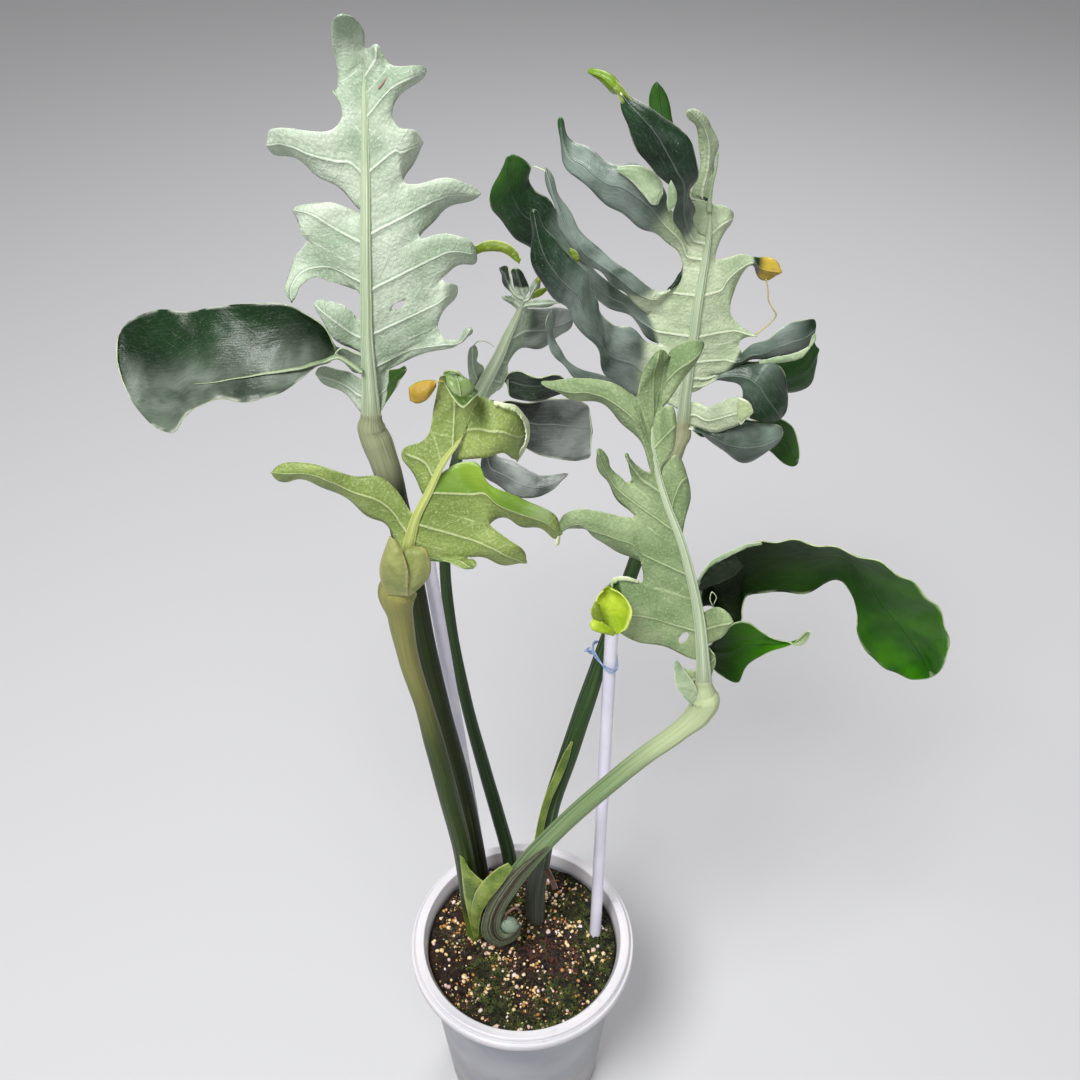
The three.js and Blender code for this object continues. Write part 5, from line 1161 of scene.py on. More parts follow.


# The third upper tone is the grey of bloom_and_sheen: partly the leaf's own silvery bloom, partly painted
# sheen.
LEAF_TONES = {
    "leaf_upper_left": {
        "silver": ((136, 156, 130), (194, 205, 186), (228, 234, 219)),
        "upper": ((12, 34, 12), (22, 52, 20), (122, 132, 120)),
        "fresh": ((36, 66, 22), (80, 106, 46)),
        "lime": ((96, 112, 30), (136, 150, 50)),
        "gloss": 0.28,
    },
    "leaf_young": {
        "silver": ((106, 126, 56), (146, 162, 90), (204, 212, 160)),
        "upper": ((66, 98, 22), (98, 128, 36), (190, 204, 160)),
        "fresh": ((86, 120, 26), (122, 152, 48)),
        "lime": ((110, 146, 26), (150, 176, 60)),
        "gloss": 0.4,
    },
    # The leaf at the back has its silver painted a little darker than the others', as painted shade: it
    # stands behind them.
    "leaf_middle_back": {
        "silver": ((132, 148, 128), (178, 190, 170), (214, 222, 200)),
        "upper": ((10, 20, 14), (36, 52, 36), (178, 184, 180)),
        "fresh": ((40, 60, 20), (96, 112, 40)),
        "lime": ((110, 120, 40), (140, 148, 60)),
        "gloss": 0.28,
    },
    "leaf_upper_right": {
        "silver": ((148, 166, 130), (200, 210, 180), (228, 234, 208)),
        "upper": ((12, 32, 16), (36, 62, 38), (140, 154, 146)),
        "fresh": ((22, 58, 14), (50, 88, 32)),
        "lime": ((84, 116, 26), (128, 156, 42)),
        "gloss": 0.28,
    },
    "leaf_front_right": {
        "silver": ((110, 132, 90), (154, 170, 128), (196, 208, 166)),
        "upper": ((8, 22, 1), (22, 40, 1), (66, 90, 40)),
        "fresh": ((26, 82, 0), (58, 120, 2)),
        "lime": ((150, 186, 16), (190, 214, 46)),
        "gloss": 0.1,
    },
}
EDGE = plain_finish("leaf_edge", (186, 196, 156), (142, 160, 108), 300)


def leaf_finishes(leaf):
    """The finishes of a blade's back, its upper side and its cut edge."""
    name = leaf.removeprefix("leaf_")
    return [
        leaf_side(name + "_back", True, **LEAF_TONES[leaf]),
        leaf_side(name + "_upper", False, **LEAF_TONES[leaf]),
        EDGE,
    ]


RIB_FINISHES = {
    "silver_leaf": stalk_skin(
        "silver_rib", (144, 166, 132), (196, 210, 176), (236, 242, 220),
        foot=((166, 172, 138), 0.22, 0.0), stripes=0.9,
    ),
    "young_leaf": stalk_skin("young_rib", (158, 170, 88), (192, 200, 120), (226, 232, 172), stripes=0.7),
    "shaded_leaf": stalk_skin("shaded_rib", (156, 172, 144), (200, 211, 180), (232, 238, 216), stripes=0.9),
}
PETIOLE_FINISHES = {
    "petiole_young": stalk_skin(
        "young_petiole_skin", (26, 40, 8), (50, 66, 18), (112, 134, 62),
        foot=((96, 122, 36), 0.62, 0.3), head=((138, 136, 78), 2.3, 3.3),
    ),
    # The upper left petiole is painted much darker than the others, as painted shade: it stands in shadow.
    "petiole_upper_left": stalk_skin(
        "shaded_left_petiole_skin", (16, 22, 6), (30, 40, 13), (84, 104, 56),
        head=((148, 152, 120), 3.64, 3.88), stripes=0.3,
    ),
    "petiole_middle_back": stalk_skin(
        "back_petiole_skin", (26, 42, 20), (50, 72, 40), (104, 126, 84),
        head=((140, 152, 122), 3.5, 3.8), stripes=0.3,
    ),
    "petiole_upper_right": stalk_skin(
        "right_petiole_skin", (26, 44, 20), (54, 80, 40), (132, 148, 120),
        foot=((74, 76, 70), 1.1, 0.6), head=((158, 160, 126), 3.66, 3.86),
    ),
    "petiole_front_right": stalk_skin(
        "front_petiole_skin", (84, 108, 72), (124, 146, 100), (184, 196, 158),
        foot=((98, 108, 92), 0.6, 0.3), head=((176, 188, 146), 2.2, 2.8), stripes=0.55,
    ),
}
SCRAP_FINISHES = {
    "vivid": scrap_skin("vivid_green_fold", (46, 70, 20), (76, 104, 40), (196, 208, 158)),
    "withered": scrap_skin("withered_tip", (150, 122, 40), (186, 146, 58), (140, 150, 54)),
    "dry": scrap_skin("dry_thread", (160, 146, 84), (190, 176, 110), (206, 204, 150)),
    "rag": scrap_skin("pale_rag", (168, 184, 134), (204, 213, 176), (230, 234, 214)),
    "silver": scrap_skin("silver_fold", (126, 148, 112), (162, 180, 144), (214, 222, 196)),
    "deep": scrap_skin("deep_green_fold", (8, 20, 3), (18, 34, 5), (30, 46, 14)),
    "vein": scrap_skin("raised_vein", (104, 124, 90), (146, 164, 128), (186, 200, 168)),
    "olive": scrap_skin("olive_curl", (74, 96, 20), (112, 130, 34), (196, 206, 130)),
    "lime": scrap_skin("lime_bowl", (130, 158, 18), (172, 192, 50), (210, 222, 120), 0.45),
    "knee": scrap_skin("knee_flap", (118, 128, 68), (150, 154, 94), (178, 164, 116)),
    "sheath": scrap_skin("green_sheath", (82, 106, 36), (132, 150, 66), (176, 184, 116), 0.42),
    "bract": scrap_skin("dry_bract", (70, 50, 42), (124, 94, 84), (176, 150, 138), 0.7),
    "scar": scrap_skin("scar", (140, 104, 92), (166, 132, 116), (186, 180, 152), 0.7),
    "knuckle": scrap_skin("knuckle_skin", (44, 58, 48), (92, 110, 94), (130, 146, 126), 0.4),
    "clasp": stalk_skin("clasp_skin", (62, 48, 40), (112, 124, 98), (176, 190, 156), stripes=0.6),
}
SCRAP_SLOTS = {"crown": "petiole", "leaf_young": "young_leaf"}


# ---- blades --------------------------------------------------------------------------------------


class Lobe:
    """One lobe of a blade, as a surface over its rows."""

    def __init__(self, blade, looks, side, start, end, bulge, tip_length, rows):
        rows = rows[:looks.get("rows", len(rows))]
        self.blade, self.looks, self.side, self.bulge = blade, looks, side, bulge
        self.start, self.end, self.tip_length = start, end, tip_length
        lows = [blade.place(row[0], row[1], row[4]) for row in rows]
        highs = [blade.place(row[2], row[3], row[5]) for row in rows]
        self.low, self.high = Course(lows), Course(highs)
        self.last = len(rows) - 1
        middles = [(low + high) / 2 for low, high in zip(lows, highs)]
        self.onward = (middles[-1] - middles[-2]).normalized()
        self.middle = middles[-1]
        widest = max((high - low).length for low, high in zip(lows, highs))
        pairs = round(widest / BLADE["spacing"] / 2)
        self.columns = 2 * max(BLADE["fewest_pairs"], min(BLADE["most_pairs"], pairs))
        self.phase = (start * 0.37 + end * 0.61) % (2 * math.pi)  # makes every lobe wave its own way
        self.stops = self.list_stops()
        self.rows = [self.edges(*stop) for stop in self.stops]
        middles = [(low + high) / 2 for low, high, _ in self.rows]
        self.runs = [0.0]
        for before, after in zip(middles, middles[1:]):
            self.runs.append(self.runs[-1] + (after - before).length)

    def list_stops(self):
        """Where the grid has its rows: over the web by the midrib, the lobe's body and its rounded cap."""
        stops = [("web", row / BLADE["web_rows"]) for row in range(BLADE["web_rows"])]
        for i in range(self.last):
            parts = max(1, round(max(self.low.lengths[i], self.high.lengths[i]) / BLADE["spacing"]))
            stops += [("body", i + part / parts) for part in range(parts)]
        return stops + [("cap", math.sin(angle)) for angle in quarter_turn(BLADE["cap_rows"])]

    def edges(self, part, t):
        """The low and high edge at a stop, and how far it bulges there."""
        if part == "web":
            low = self.blade.midrib_at(self.start).lerp(self.low.at(0), t)
            high = self.blade.midrib_at(self.end).lerp(self.high.at(0), t)
            return low, high, self.bulge * t / 3
        if part == "body":
            return self.low.at(t), self.high.at(t), self.bulge * min(1, (t + 1) / 3)
        low, high = self.low.at(self.last), self.high.at(self.last)
        half = (high - low) / 2 * (0.6 * math.sqrt(max(0, 1 - t * t)) + 0.4 * (1 - t))
        centre = self.middle + self.onward * (self.tip_length * t)
        return centre - half, centre + half, self.bulge * min(1, (self.last + 1) / 3) * (1 - 0.6 * t)

    def position(self, row):
        """How far out a row of the grid is, counted in the table's rows from the throat at 0."""
        part, t = self.stops[row]
        return {"web": t - 1, "body": t, "cap": self.last + t}[part]

    def point(self, u, row):
        """The surface point at a share u of the way across a row."""
        low, high, bulge = self.rows[row]
        point = low.lerp(high, u) + self.blade.front * (bulge * 4 * u * (1 - u))
        part, t = self.stops[row]
        if part == "web":
            rib = self.blade.midrib_at(self.start + (self.end - self.start) * u)
            point += (rib - self.rows[0][0].lerp(self.rows[0][1], u)) * (1 - t)
        return point

    def relief(self, aside, run, edge):
        """How far the skin stands out of the silver side, in mm: vein, puckers and waving margin."""
        fading = 1 - 0.7 * run / self.runs[-1]
        vein = SKIN["vein"] * math.exp(-((aside / SKIN["vein_width"]) ** 2)) * fading
        beside = (abs(aside) - SKIN["furrow_aside"]) / SKIN["furrow_width"]
        lines = 0 if "veinless" in self.looks else vein - SKIN["furrow"] * math.exp(-(beside**2))
        grown = Vector((aside, run, self.phase * 9)) * 0.17
        pucker = SKIN["pucker"] * noise.noise(grown) * min(1, run / 12)
        swing = math.sin(2 * math.pi * run / SKIN["wave_length"] + self.phase)
        return (lines + pucker) * (1 - edge**6) + SKIN["wave"] * edge**3 * swing * min(1, run / 20)

    def look(self, name, place, u):
        """How much of a look the lobe has at a position and a share of its width."""
        start, full, *end = self.looks[name]
        amount = smooth_step((place - start) / (full - start))
        if "half" in self.looks:
            bare, covered = self.looks["half"]
            amount *= smooth_step((u - bare) / (covered - bare))
        if end:
            fade, gone = end
            amount *= smooth_step((gone - place) / (gone - fade))
        return amount

    def add_to(self, bm):
        floats = bm.verts.layers.float
        pinned = bm.verts.layers.int["pinned"]
        count = len(self.stops) - 1
        marks = []

        def surface(u, v):
            row = round(v * count)
            s = 2 * u - 1
            u = 0.5 + 0.5 * math.copysign(abs(s) ** BLADE["crowding"], s)
            aside = (u - 0.5) * (self.rows[row][1] - self.rows[row][0]).length
            marks.append((aside, row, u))
            return self.point(u, row), (aside / 100, self.runs[row] / 100)

        made = grid_patch(bm, self.columns, count, surface)
        for vert, (aside, row, u) in zip(made, marks):
            edge = abs(2 * u - 1)
            place = self.position(row)
            vert[pinned] = row == 0
            vert[floats["relief"]] = self.relief(aside, self.runs[row], edge)
            vert[floats["margin"]] = max(edge, place - self.last)
            vert[floats["veined"]] = 0 if "veinless" in self.looks else 1 - smooth_step(place - self.last)
            for name in LOOK_NAMES:
                vert[floats[name]] = self.look(name, place, u) if name in self.looks else 0
        if self.side == "R":
            bmesh.ops.reverse_faces(bm, faces=list({face for vert in made for face in vert.link_faces}))


class Blade:
    def __init__(self, leaf):
        self.leaf = leaf
        tilt = math.radians(leaf["tilt"])
        self.foot = seen_at_depth(*leaf["at"])
        self.up = Vector((0, math.sin(tilt), math.cos(tilt)))
        self.front = Vector((0, -math.cos(tilt), math.sin(tilt)))
        self.midrib = Course([self.place(x, y, lift) for x, y, lift, _ in leaf["midrib"]])

    def place(self, x, y, lift):
        """The point that lies lift above the blade's plane and looks to be at x, y."""
        return seen_on_plane(x, y, self.foot + self.front * (lift * RELIEF), self.front)

    def midrib_at(self, y):
        heights = [station[1] for station in self.leaf["midrib"]]
        i = next((i for i in range(1, len(heights)) if heights[i] <= y), len(heights) - 1)
        return self.midrib.at(i - 1 + (heights[i - 1] - y) / (heights[i - 1] - heights[i]))

    def build(self):
        name = self.leaf["name"]
        bm = bmesh.new()
        bm.verts.layers.int.new("pinned")
        for layer in ("relief", "margin", "veined", *LOOK_NAMES):
            bm.verts.layers.float.new(layer)
        for index, lobe in enumerate(self.leaf["lobes"]):
            Lobe(self, LOOKS[name].get(index, {}), *lobe).add_to(bm)
        bmesh.ops.remove_doubles(bm, verts=bm.verts[:], dist=SAME_SEAM)
        relax(bm)
        raise_relief(bm)
        for hole in self.leaf["holes"]:
            self.pierce(bm, *hole)
        piece = finished(name + "_blade", bm, leaf_finishes(name), self.leaf["slot"], name)
        thicken(piece, -1, 1, 2)

    def pierce(self, bm, x, y, length, width, angle):
        """Cuts an oval hole and rounds its rim. Length and width are its half axes in mm."""
        centre = self.place(x, y, 0)
        cos, sin = math.cos(math.radians(angle)), math.sin(math.radians(angle))
        side = Vector((1, 0, 0))
        axes = (side * cos + self.up * sin) / length, (self.up * cos - side * sin) / width

        def reach(spot):
            offset = spot / MM - centre
            return math.hypot(offset.dot(axes[0]), offset.dot(axes[1]))

        near = [edge for edge in bm.edges if all(reach(vert.co) < 2.2 for vert in edge.verts)]
        bmesh.ops.subdivide_edges(bm, edges=near, cuts=2, use_grid_fill=True)
        inside = [face for face in bm.faces if reach(face.calc_center_median()) < 1]
        rim = {vert for face in inside for vert in face.verts}
        bmesh.ops.delete(bm, geom=inside, context="FACES")
        for vert in [vert for vert in rim if vert.is_valid]:
            offset = vert.co / MM - centre
            flat = offset - self.front * offset.dot(self.front)
            vert.co += flat * ((1 / reach(vert.co) - 1) * MM)

    def build_midrib(self):
        widths = [station[3] for station in self.leaf["midrib"]]
        last = len(widths) - 1

        def size_at(t):
            i = min(int(t), last - 1)
            width = widths[i] + (widths[i + 1] - widths[i]) * (t - i)
            width *= RIB["width"] - RIB["taper"] * smooth_step(t - last + 1)
            return width, width * RIB["flatness"]

        def fluted(turn, t):
            return 1 + 0.05 * math.cos(9 * turn) + 0.03 * math.cos(17 * turn + 1)

        bm = bmesh.new()
        tube(bm, self.midrib, size_at, RIB["sides"], RIB["rows"], self.front, fluted)
        slot = self.leaf["slot"]
        finished(self.leaf["name"] + "_midrib", bm, [RIB_FINISHES[slot]], slot)


def relax(bm):
    """Eases the creases between lobes. Rim points move along the rim alone, and the midrib's stay."""
    pinned = bm.verts.layers.int["pinned"]
    free = [vert for vert in bm.verts if not vert[pinned]]
    rim = [vert for vert in free if vert.is_boundary]
    inner = [vert for vert in free if not vert.is_boundary]
    for step in range(max(BLADE["rim_rounds"], BLADE["inner_rounds"])):
        targets = {}
        for vert in rim if step < BLADE["rim_rounds"] else []:
            near = [edge.other_vert(vert) for edge in vert.link_edges if edge.is_boundary]
            targets[vert] = sum((other.co for other in near), Vector()) / len(near)
        for vert in inner if step < BLADE["inner_rounds"] else []:
            near = [edge.other_vert(vert) for edge in vert.link_edges]
            targets[vert] = sum((other.co for other in near), Vector()) / len(near)
        for vert, target in targets.items():
            vert.co = vert.co.lerp(target, 0.5)


def raise_relief(bm):
    relief = bm.verts.layers.float["relief"]
    bm.normal_update()
    normals = [vert.normal.copy() for vert in bm.verts]
    for vert, normal in zip(bm.verts, normals):
        vert.co += normal * (vert[relief] * MM)


# ---- folds, curls and rags -----------------------------------------------------------------------


def build_scrap(name, base, finish, bulge, rows):
    """A small sheet between two edges, puckered and bulging to the front. A rag's low edge is torn."""
    blade = BLADES.get(base)
    place, front = (blade.place, blade.front) if blade else (seen_at_depth, -AHEAD)
    low = Course([place(row[0], row[1], row[4]) for row in rows])
    high = Course([place(row[2], row[3], row[5]) for row in rows])
    last = len(rows) - 1
    widest = max((p - q).length for p, q in zip(low.points, high.points))
    length = sum(low.lengths)
    phase = sum(rows[0][:4])  # makes every sheet pucker its own way

    def torn(run):
        return SCRAP["tear"] * abs(noise.noise(Vector((run, phase, 0)) * 0.5)) if finish == "rag" else 0

    def surface(u, v):
        run = v * length
        point = low.at(v * last).lerp(high.at(v * last), u + (1 - u) * torn(run))
        point += front * (bulge * 4 * u * (1 - u) * math.sin(math.pi * min(1, 0.15 + 0.85 * v)))
        ripple = noise.noise(Vector((u * widest, run, phase)) * 0.4)
        return point + front * (SCRAP["ripple"] * ripple), (u, run / 100)

    bm = bmesh.new()
    columns = max(6, round(widest / SCRAP["spacing"]))
    grid_patch(bm, columns, max(8, round(length / SCRAP["spacing"])), surface)
    bmesh.ops.remove_doubles(bm, verts=bm.verts[:], dist=SAME_SEAM)
    piece = finished(name, bm, [SCRAP_FINISHES[finish]], SCRAP_SLOTS.get(base, "silver_leaf"))
    thicken(piece, 0)


def build_thread(name, base, finish, widths, places):
    course = Course([BLADES[base].place(*place) for place in places])

    def size_at(t):
        width = widths[0] + (widths[1] - widths[0]) * t / (len(places) - 1)
        return width, width * 0.8

    bm = bmesh.new()
    tube(bm, course, size_at, 8, 8 * len(places), Vector((0, 0.3, 1)))
    finished(name, bm, [SCRAP_FINISHES[finish]], SCRAP_SLOTS.get(base, "silver_leaf"))


def build_knuckle():
    """The round young bud that the front petiole's foot clasps, with its pink seam."""
    bm = bmesh.new()
    bmesh.ops.create_uvsphere(bm, u_segments=32, v_segments=20, radius=KNUCKLE["radius"] * MM)
    for vert in bm.verts:
        vert.co *= 1 + 0.05 * math.sin(vert.co.x / MM * 2.2 + vert.co.z / MM)
    lean = Matrix.Rotation(math.radians(KNUCKLE["lean"]), 4, "Y")
    place = Matrix.Translation(seen_at_depth(*KNUCKLE["at"]) * MM)
    stretch = Matrix.Diagonal((*KNUCKLE["stretch"], 1))
    bmesh.ops.transform(bm, matrix=place @ lean @ stretch, verts=bm.verts)
    finished("crown_knuckle", bm, [SCRAP_FINISHES["knuckle"]], "petiole")
    seam = Course([seen_at_depth(*spot) for spot in KNUCKLE_SEAM])
    bm = bmesh.new()
    tube(bm, seam, lambda t: (1.8, 1.2), 12, 24, Vector((0, 0, 1)))
    finished("crown_seam", bm, [SCRAP_FINISHES["bract"]], "petiole")


# ---- petioles ------------------------------------------------------------------------------------


def petiole_course(petiole, blade):
    """The centre line and sizes from under the soil to where the foot of the blade clasps it."""
    rib = blade.leaf["midrib"]
    way = (blade.place(*rib[1][:3]) - blade.foot).normalized()
    points = [seen_at_depth(x, y, depth) for x, y, depth, _, _ in petiole["path"]]
    sizes = [station[3:] for station in petiole["path"]]
    points.insert(0, Vector((points[0].x, points[0].y + 2, SOIL["top"] - PETIOLE["buried"])))
    sizes.insert(0, [size * 0.8 for size in sizes[0]])
    points += [blade.foot - way * 2.5, blade.foot + way * 5, blade.foot + way * 12]
    width = rib[0][3]
    sizes += [(width + 1.6, width * 0.8), (width * 0.86, width * 0.42), (width * 0.5, width * 0.1)]
    return Course(points), sizes


def build_petiole(petiole, blade):
    course, sizes = petiole_course(petiole, blade)

    def size_at(t):
        i = min(int(t), len(sizes) - 2)
        return [a + (b - a) * smooth_step(t - i) for a, b in zip(sizes[i], sizes[i + 1])]

    def fluted(turn, t):
        return 1 + 0.03 * math.cos(9 * turn) + 0.05 * math.cos(3 * turn + 0.6)

    name = petiole["name"]
    bm = bmesh.new()
    tube(bm, course, size_at, PETIOLE["sides"], PETIOLE["rows"], -AHEAD, fluted)
    finished(name + "_skin", bm, [PETIOLE_FINISHES[name]], petiole["slot"], name)


# ---- stakes and tie ------------------------------------------------------------------------------


def build_stake(stake, finish):
    """A straight coated stake, from deep in the soil to its rounded top."""
    foot, top = seen_at_depth(*stake["foot"]), seen_at_depth(*stake["top"])
    way = (top - foot).normalized()
    foot = foot - way * ((foot.z - STAKE["foot_height"]) / way.z)
    length = (top - foot).length
    radius, rounding, rings = STAKE["radius"], STAKE["rounding"], STAKE["rings"]
    straight = length - 2 * rounding
    profile = [(0, 0), (radius * 0.5, 0.2), (radius, rounding)]
    profile += [(radius, rounding + straight * ring / rings) for ring in range(1, rings)]
    for angle in quarter_turn(5):
        profile.append((radius * math.cos(angle), length - rounding + rounding * math.sin(angle)))
    bm = bmesh.new()
    turned_profile(bm, profile, STAKE["sides"])
    lean = Vector((0, 0, 1)).rotation_difference(top - foot).to_matrix().to_4x4()
    bm.transform(Matrix.Translation(foot * MM) @ lean)
    finished(stake["name"] + "_coating", bm, [finish], "stake", stake["name"])


def tie_centres(stake, petiole):
    """Where the tie's middle crosses the stake, and the petiole beside it."""
    share = (stake["foot"][1] - TIE["height"]) / (stake["foot"][1] - stake["top"][1])
    stake_at = seen_at_depth(*[a + (b - a) * share for a, b in zip(stake["foot"], stake["top"])])
    course, _ = petiole_course(petiole, BLADES[petiole["leaf"]])
    line = [course.at(step / 20) for step in range(20 * len(course.lengths))]
    return stake_at, min(line, key=lambda point: abs(point.z - stake_at.z))


def tie_turns(stake_at, petiole_at):
    """The wire's loops, a little slack, from the petiole round the stake and back."""
    away = math.atan2(stake_at.y - petiole_at.y, stake_at.x - petiole_at.x)
    turn = [(petiole_at, TIE["petiole_reach"], 1.45)]
    turn += [(stake_at, TIE["stake_reach"], share) for share in (-0.5, -0.25, 0, 0.25, 0.5)]
    turn += [(petiole_at, TIE["petiole_reach"], share) for share in (0.5, 0.75, 1, 1.25)]
    points = []
    for step, (centre, reach, share) in enumerate(turn * TIE["turns"]):
        angle = away + math.pi * share
        x, y = centre.x + reach * math.cos(angle), centre.y + reach * math.sin(angle)
        rise = TIE["pitch"] * step / len(turn) + TIE["sag"] * math.sin(step * 1.7)
        points.append(Vector((x, y, stake_at.z - TIE["slope"] * (x - stake_at.x) + rise)))
    return points


def tie_tail(knot, side):
    """One of the two twisted ends. side is where it starts round the other, as an angle."""
    tail = []
    for step in range(TIE["twist_steps"]):
        angle = 2.2 * step + side
        round_it = Vector((math.cos(angle), math.sin(angle), 0)) * TIE["twist"]
        tail.append(knot + Vector((-0.5, -0.2, 0.7)) * step + round_it)
    return tail


def build_tie(stake, petiole):
    """A soft wire wound twice round the right stake and the petiole behind it, with two twisted tails."""
    loops = tie_turns(*tie_centres(stake, petiole))
    knot = loops[0] + Vector((-1, -1.8, 0.5))
    first, second = tie_tail(knot, 0), tie_tail(knot, math.pi)
    first.append(first[-1] + Vector((-1.8, -0.4, 0.6)))
    second.append(second[-1] + Vector((1.4, -0.6, 1.8)))
    points = first[::-1] + loops + [knot + Vector((-0.2, 0, -0.6))] + second
    bm = bmesh.new()
    size = TIE["wire"] * 2, TIE["wire"] * 1.6
    tube(bm, Course(points), lambda t: size, 10, 12 * len(points), Vector((0.1, 0.2, 1)))
    coat = plain_finish("tie_coating", (118, 142, 186), (160, 182, 214), 300, 0.4, 0.2)
    finished("wire_tie_twist", bm, [coat], "wire", "wire_tie")


# ---- pot -----------------------------------------------------------------------------------------


def inner_radius(height):
    share = height / (POT["height"] - POT["skirt_depth"])
    return POT["foot"] + (POT["shoulder"] - POT["foot"]) * share - POT["wall"]


def pot_outside():
    """The profile from the middle of the foot up the wall to the underside of the lip."""
    foot, bend, steps = POT["foot"], POT["bend"], 10
    spread, climb = POT["shoulder"] - foot, POT["height"] - POT["skirt_depth"] - bend
    profile = [(0, 0), (foot - 2 * bend, 0)]
    for angle in quarter_turn(6):
        profile.append((foot - bend + bend * math.sin(angle), bend - bend * math.cos(angle)))
    for step in range(1, steps + 1):
        profile.append((foot + spread * step / steps, bend + climb * step / steps))
    return profile


def pot_lip():
    """The profile of the hanging skirt, the step in the rim and the second ring over it."""
    height, rim, under_lip = POT["height"], POT["rim"], POT["height"] - POT["lip"]
    skirt_inner, skirt_foot = rim - POT["skirt_wall"], height - POT["skirt_depth"]
    ring, ring_foot, bend = rim - POT["ring_step"], height - POT["ring_drop"], POT["ring_bend"]
    corner, small_corner, fillet = 0.4, 0.3, 1.2
    profile = [(POT["shoulder"] + 0.6, height - 4), (skirt_inner - fillet, under_lip)]
    profile += [(skirt_inner, under_lip - fillet), (skirt_inner, skirt_foot + corner)]
    profile += [(skirt_inner + corner, skirt_foot), (rim - corner, skirt_foot), (rim, skirt_foot + corner)]
    profile += [(rim, ring_foot - 0.8), (rim - small_corner, ring_foot - small_corner)]
    profile += [(rim - 0.9, ring_foot), (ring + small_corner, ring_foot), (ring, ring_foot + small_corner)]
    for angle in quarter_turn(6):
        profile.append((ring - bend + bend * math.cos(angle), height - bend + bend * math.sin(angle)))
    return profile + [(ring - 2.2, height - POT["lip_dip"])]


def pot_inside():
    """The profile from the inner side of the lip down to the middle of the floor."""
    height, lip_inner, floor = POT["height"], POT["lip_inner"], POT["floor"]
    skirt_foot = height - POT["skirt_depth"]
    bend = POT["bend"]
    profile = [(lip_inner + 2.4, height - POT["lip_dip"])]
    for angle in quarter_turn(6):
        profile.append((lip_inner + bend - bend * math.sin(angle), height - 1.2 + bend * math.cos(angle)))
    profile += [(POT["shoulder"] - POT["wall"], height - 5), (inner_radius(skirt_foot), skirt_foot)]
    profile += [(inner_radius(floor) + 0.1, floor + 1.5), (inner_radius(floor) - 1.5, floor), (0, floor)]
    return profile


def build_pot():
    bm = bmesh.new()
    turned_profile(bm, pot_outside() + pot_lip() + pot_inside(), 144)
    drill(finished("pot_shell", bm, [pot_plastic()], "pot", "pot"))


def drill(pot):
    """Cuts the ring of drain holes through the pot's floor."""
    radius = POT["drain_radius"] * MM
    bits = bmesh.new()
    for hole in range(POT["drain_holes"]):
        angle = 2 * math.pi * hole / POT["drain_holes"]
        place = Vector((math.cos(angle), math.sin(angle), 0)) * POT["drain_circle"]
        bmesh.ops.create_cone(
            bits, segments=32, radius1=radius, radius2=radius, depth=4 * POT["floor"] * MM, cap_ends=True,
            matrix=Matrix.Translation(place * MM),
        )
    cutter = new_object("drill", new_mesh("drill", bits))
    cut = pot.modifiers.new("drain", "BOOLEAN")
    cut.object, cut.operation, cut.solver = cutter, "DIFFERENCE", "EXACT"
    drilled = bpy.data.meshes.new_from_object(pot.evaluated_get(bpy.context.evaluated_depsgraph_get()))
    pot.modifiers.clear()
    pot.data = drilled
    bpy.data.objects.remove(cutter)


# ---- soil ----------------------------------------------------------------------------------------


def soil_edge():
    return inner_radius(SOIL["top"]) - SOIL["clearance"]


def crumbled(x, y):
    """The height of the soil's domed top with its waves and lumps."""
    dome = SOIL["dome"] * (1 - (x * x + y * y) / (soil_edge() * soil_edge()))
    waves = 0.7 * math.sin(x * 0.31 + 1) * math.sin(y * 0.27 + 2)
    lumps = 1.6 * noise.noise(Vector((x, y, 0)) * 0.16) + 1.1 * noise.noise(Vector((x, y, 5)) * 0.5)
    return SOIL["top"] + dome + waves + lumps


def build_soil():
    edge, top, floor, rings = soil_edge(), SOIL["top"], SOIL["floor"], SOIL["rings"]
    profile = [(edge * ring / rings, top) for ring in range(rings + 1)]
    profile += [(edge, top - SOIL["side"]), (inner_radius(floor), floor), (0, floor)]
    bm = bmesh.new()
    turned_profile(bm, profile, 180)
    for vert in bm.verts:
        if vert.co.z > (top - 1) * MM:
            vert.co.z = crumbled(vert.co.x / MM, vert.co.y / MM) * MM
    finished("soil_bed", bm, [potting_mix()], "soil", "soil")


def anywhere(x, y):
    return 1.0


def mossy(x, y):
    """Where moss grows: mostly at the right and the front."""
    patch = noise.noise(Vector((x, y, 9)) * 0.045) + 0.7 * noise.noise(Vector((x, y, 5)) * 0.16)
    return smooth_step(0.35 + patch + 0.009 * x - 0.006 * y) ** 1.5


def gritty(x, y):
    """Where the grit has gathered."""
    patch = 0.8 * noise.noise(Vector((x, y, 3)) * 0.075)
    return smooth_step(0.5 + patch + 0.6 * noise.noise(Vector((x, y, 4)) * 0.2))


def rusty(x, y):
    """A reddish patch of bark to the right of the crown."""
    return smooth_step(1.4 - math.hypot(x - 16, y + 4) / 22)


def scattered(count, draw, margin, share):
    """Seeded places on the soil, thinned to share(x, y) of them."""
    reach = inner_radius(SOIL["top"]) - margin
    places = []
    while len(places) < count:
        distance, angle = reach * math.sqrt(draw.random()), 2 * math.pi * draw.random()
        x, y = distance * math.cos(angle), distance * math.sin(angle)
        if draw.random() < share(x, y):
            places.append((x, y))
    return places


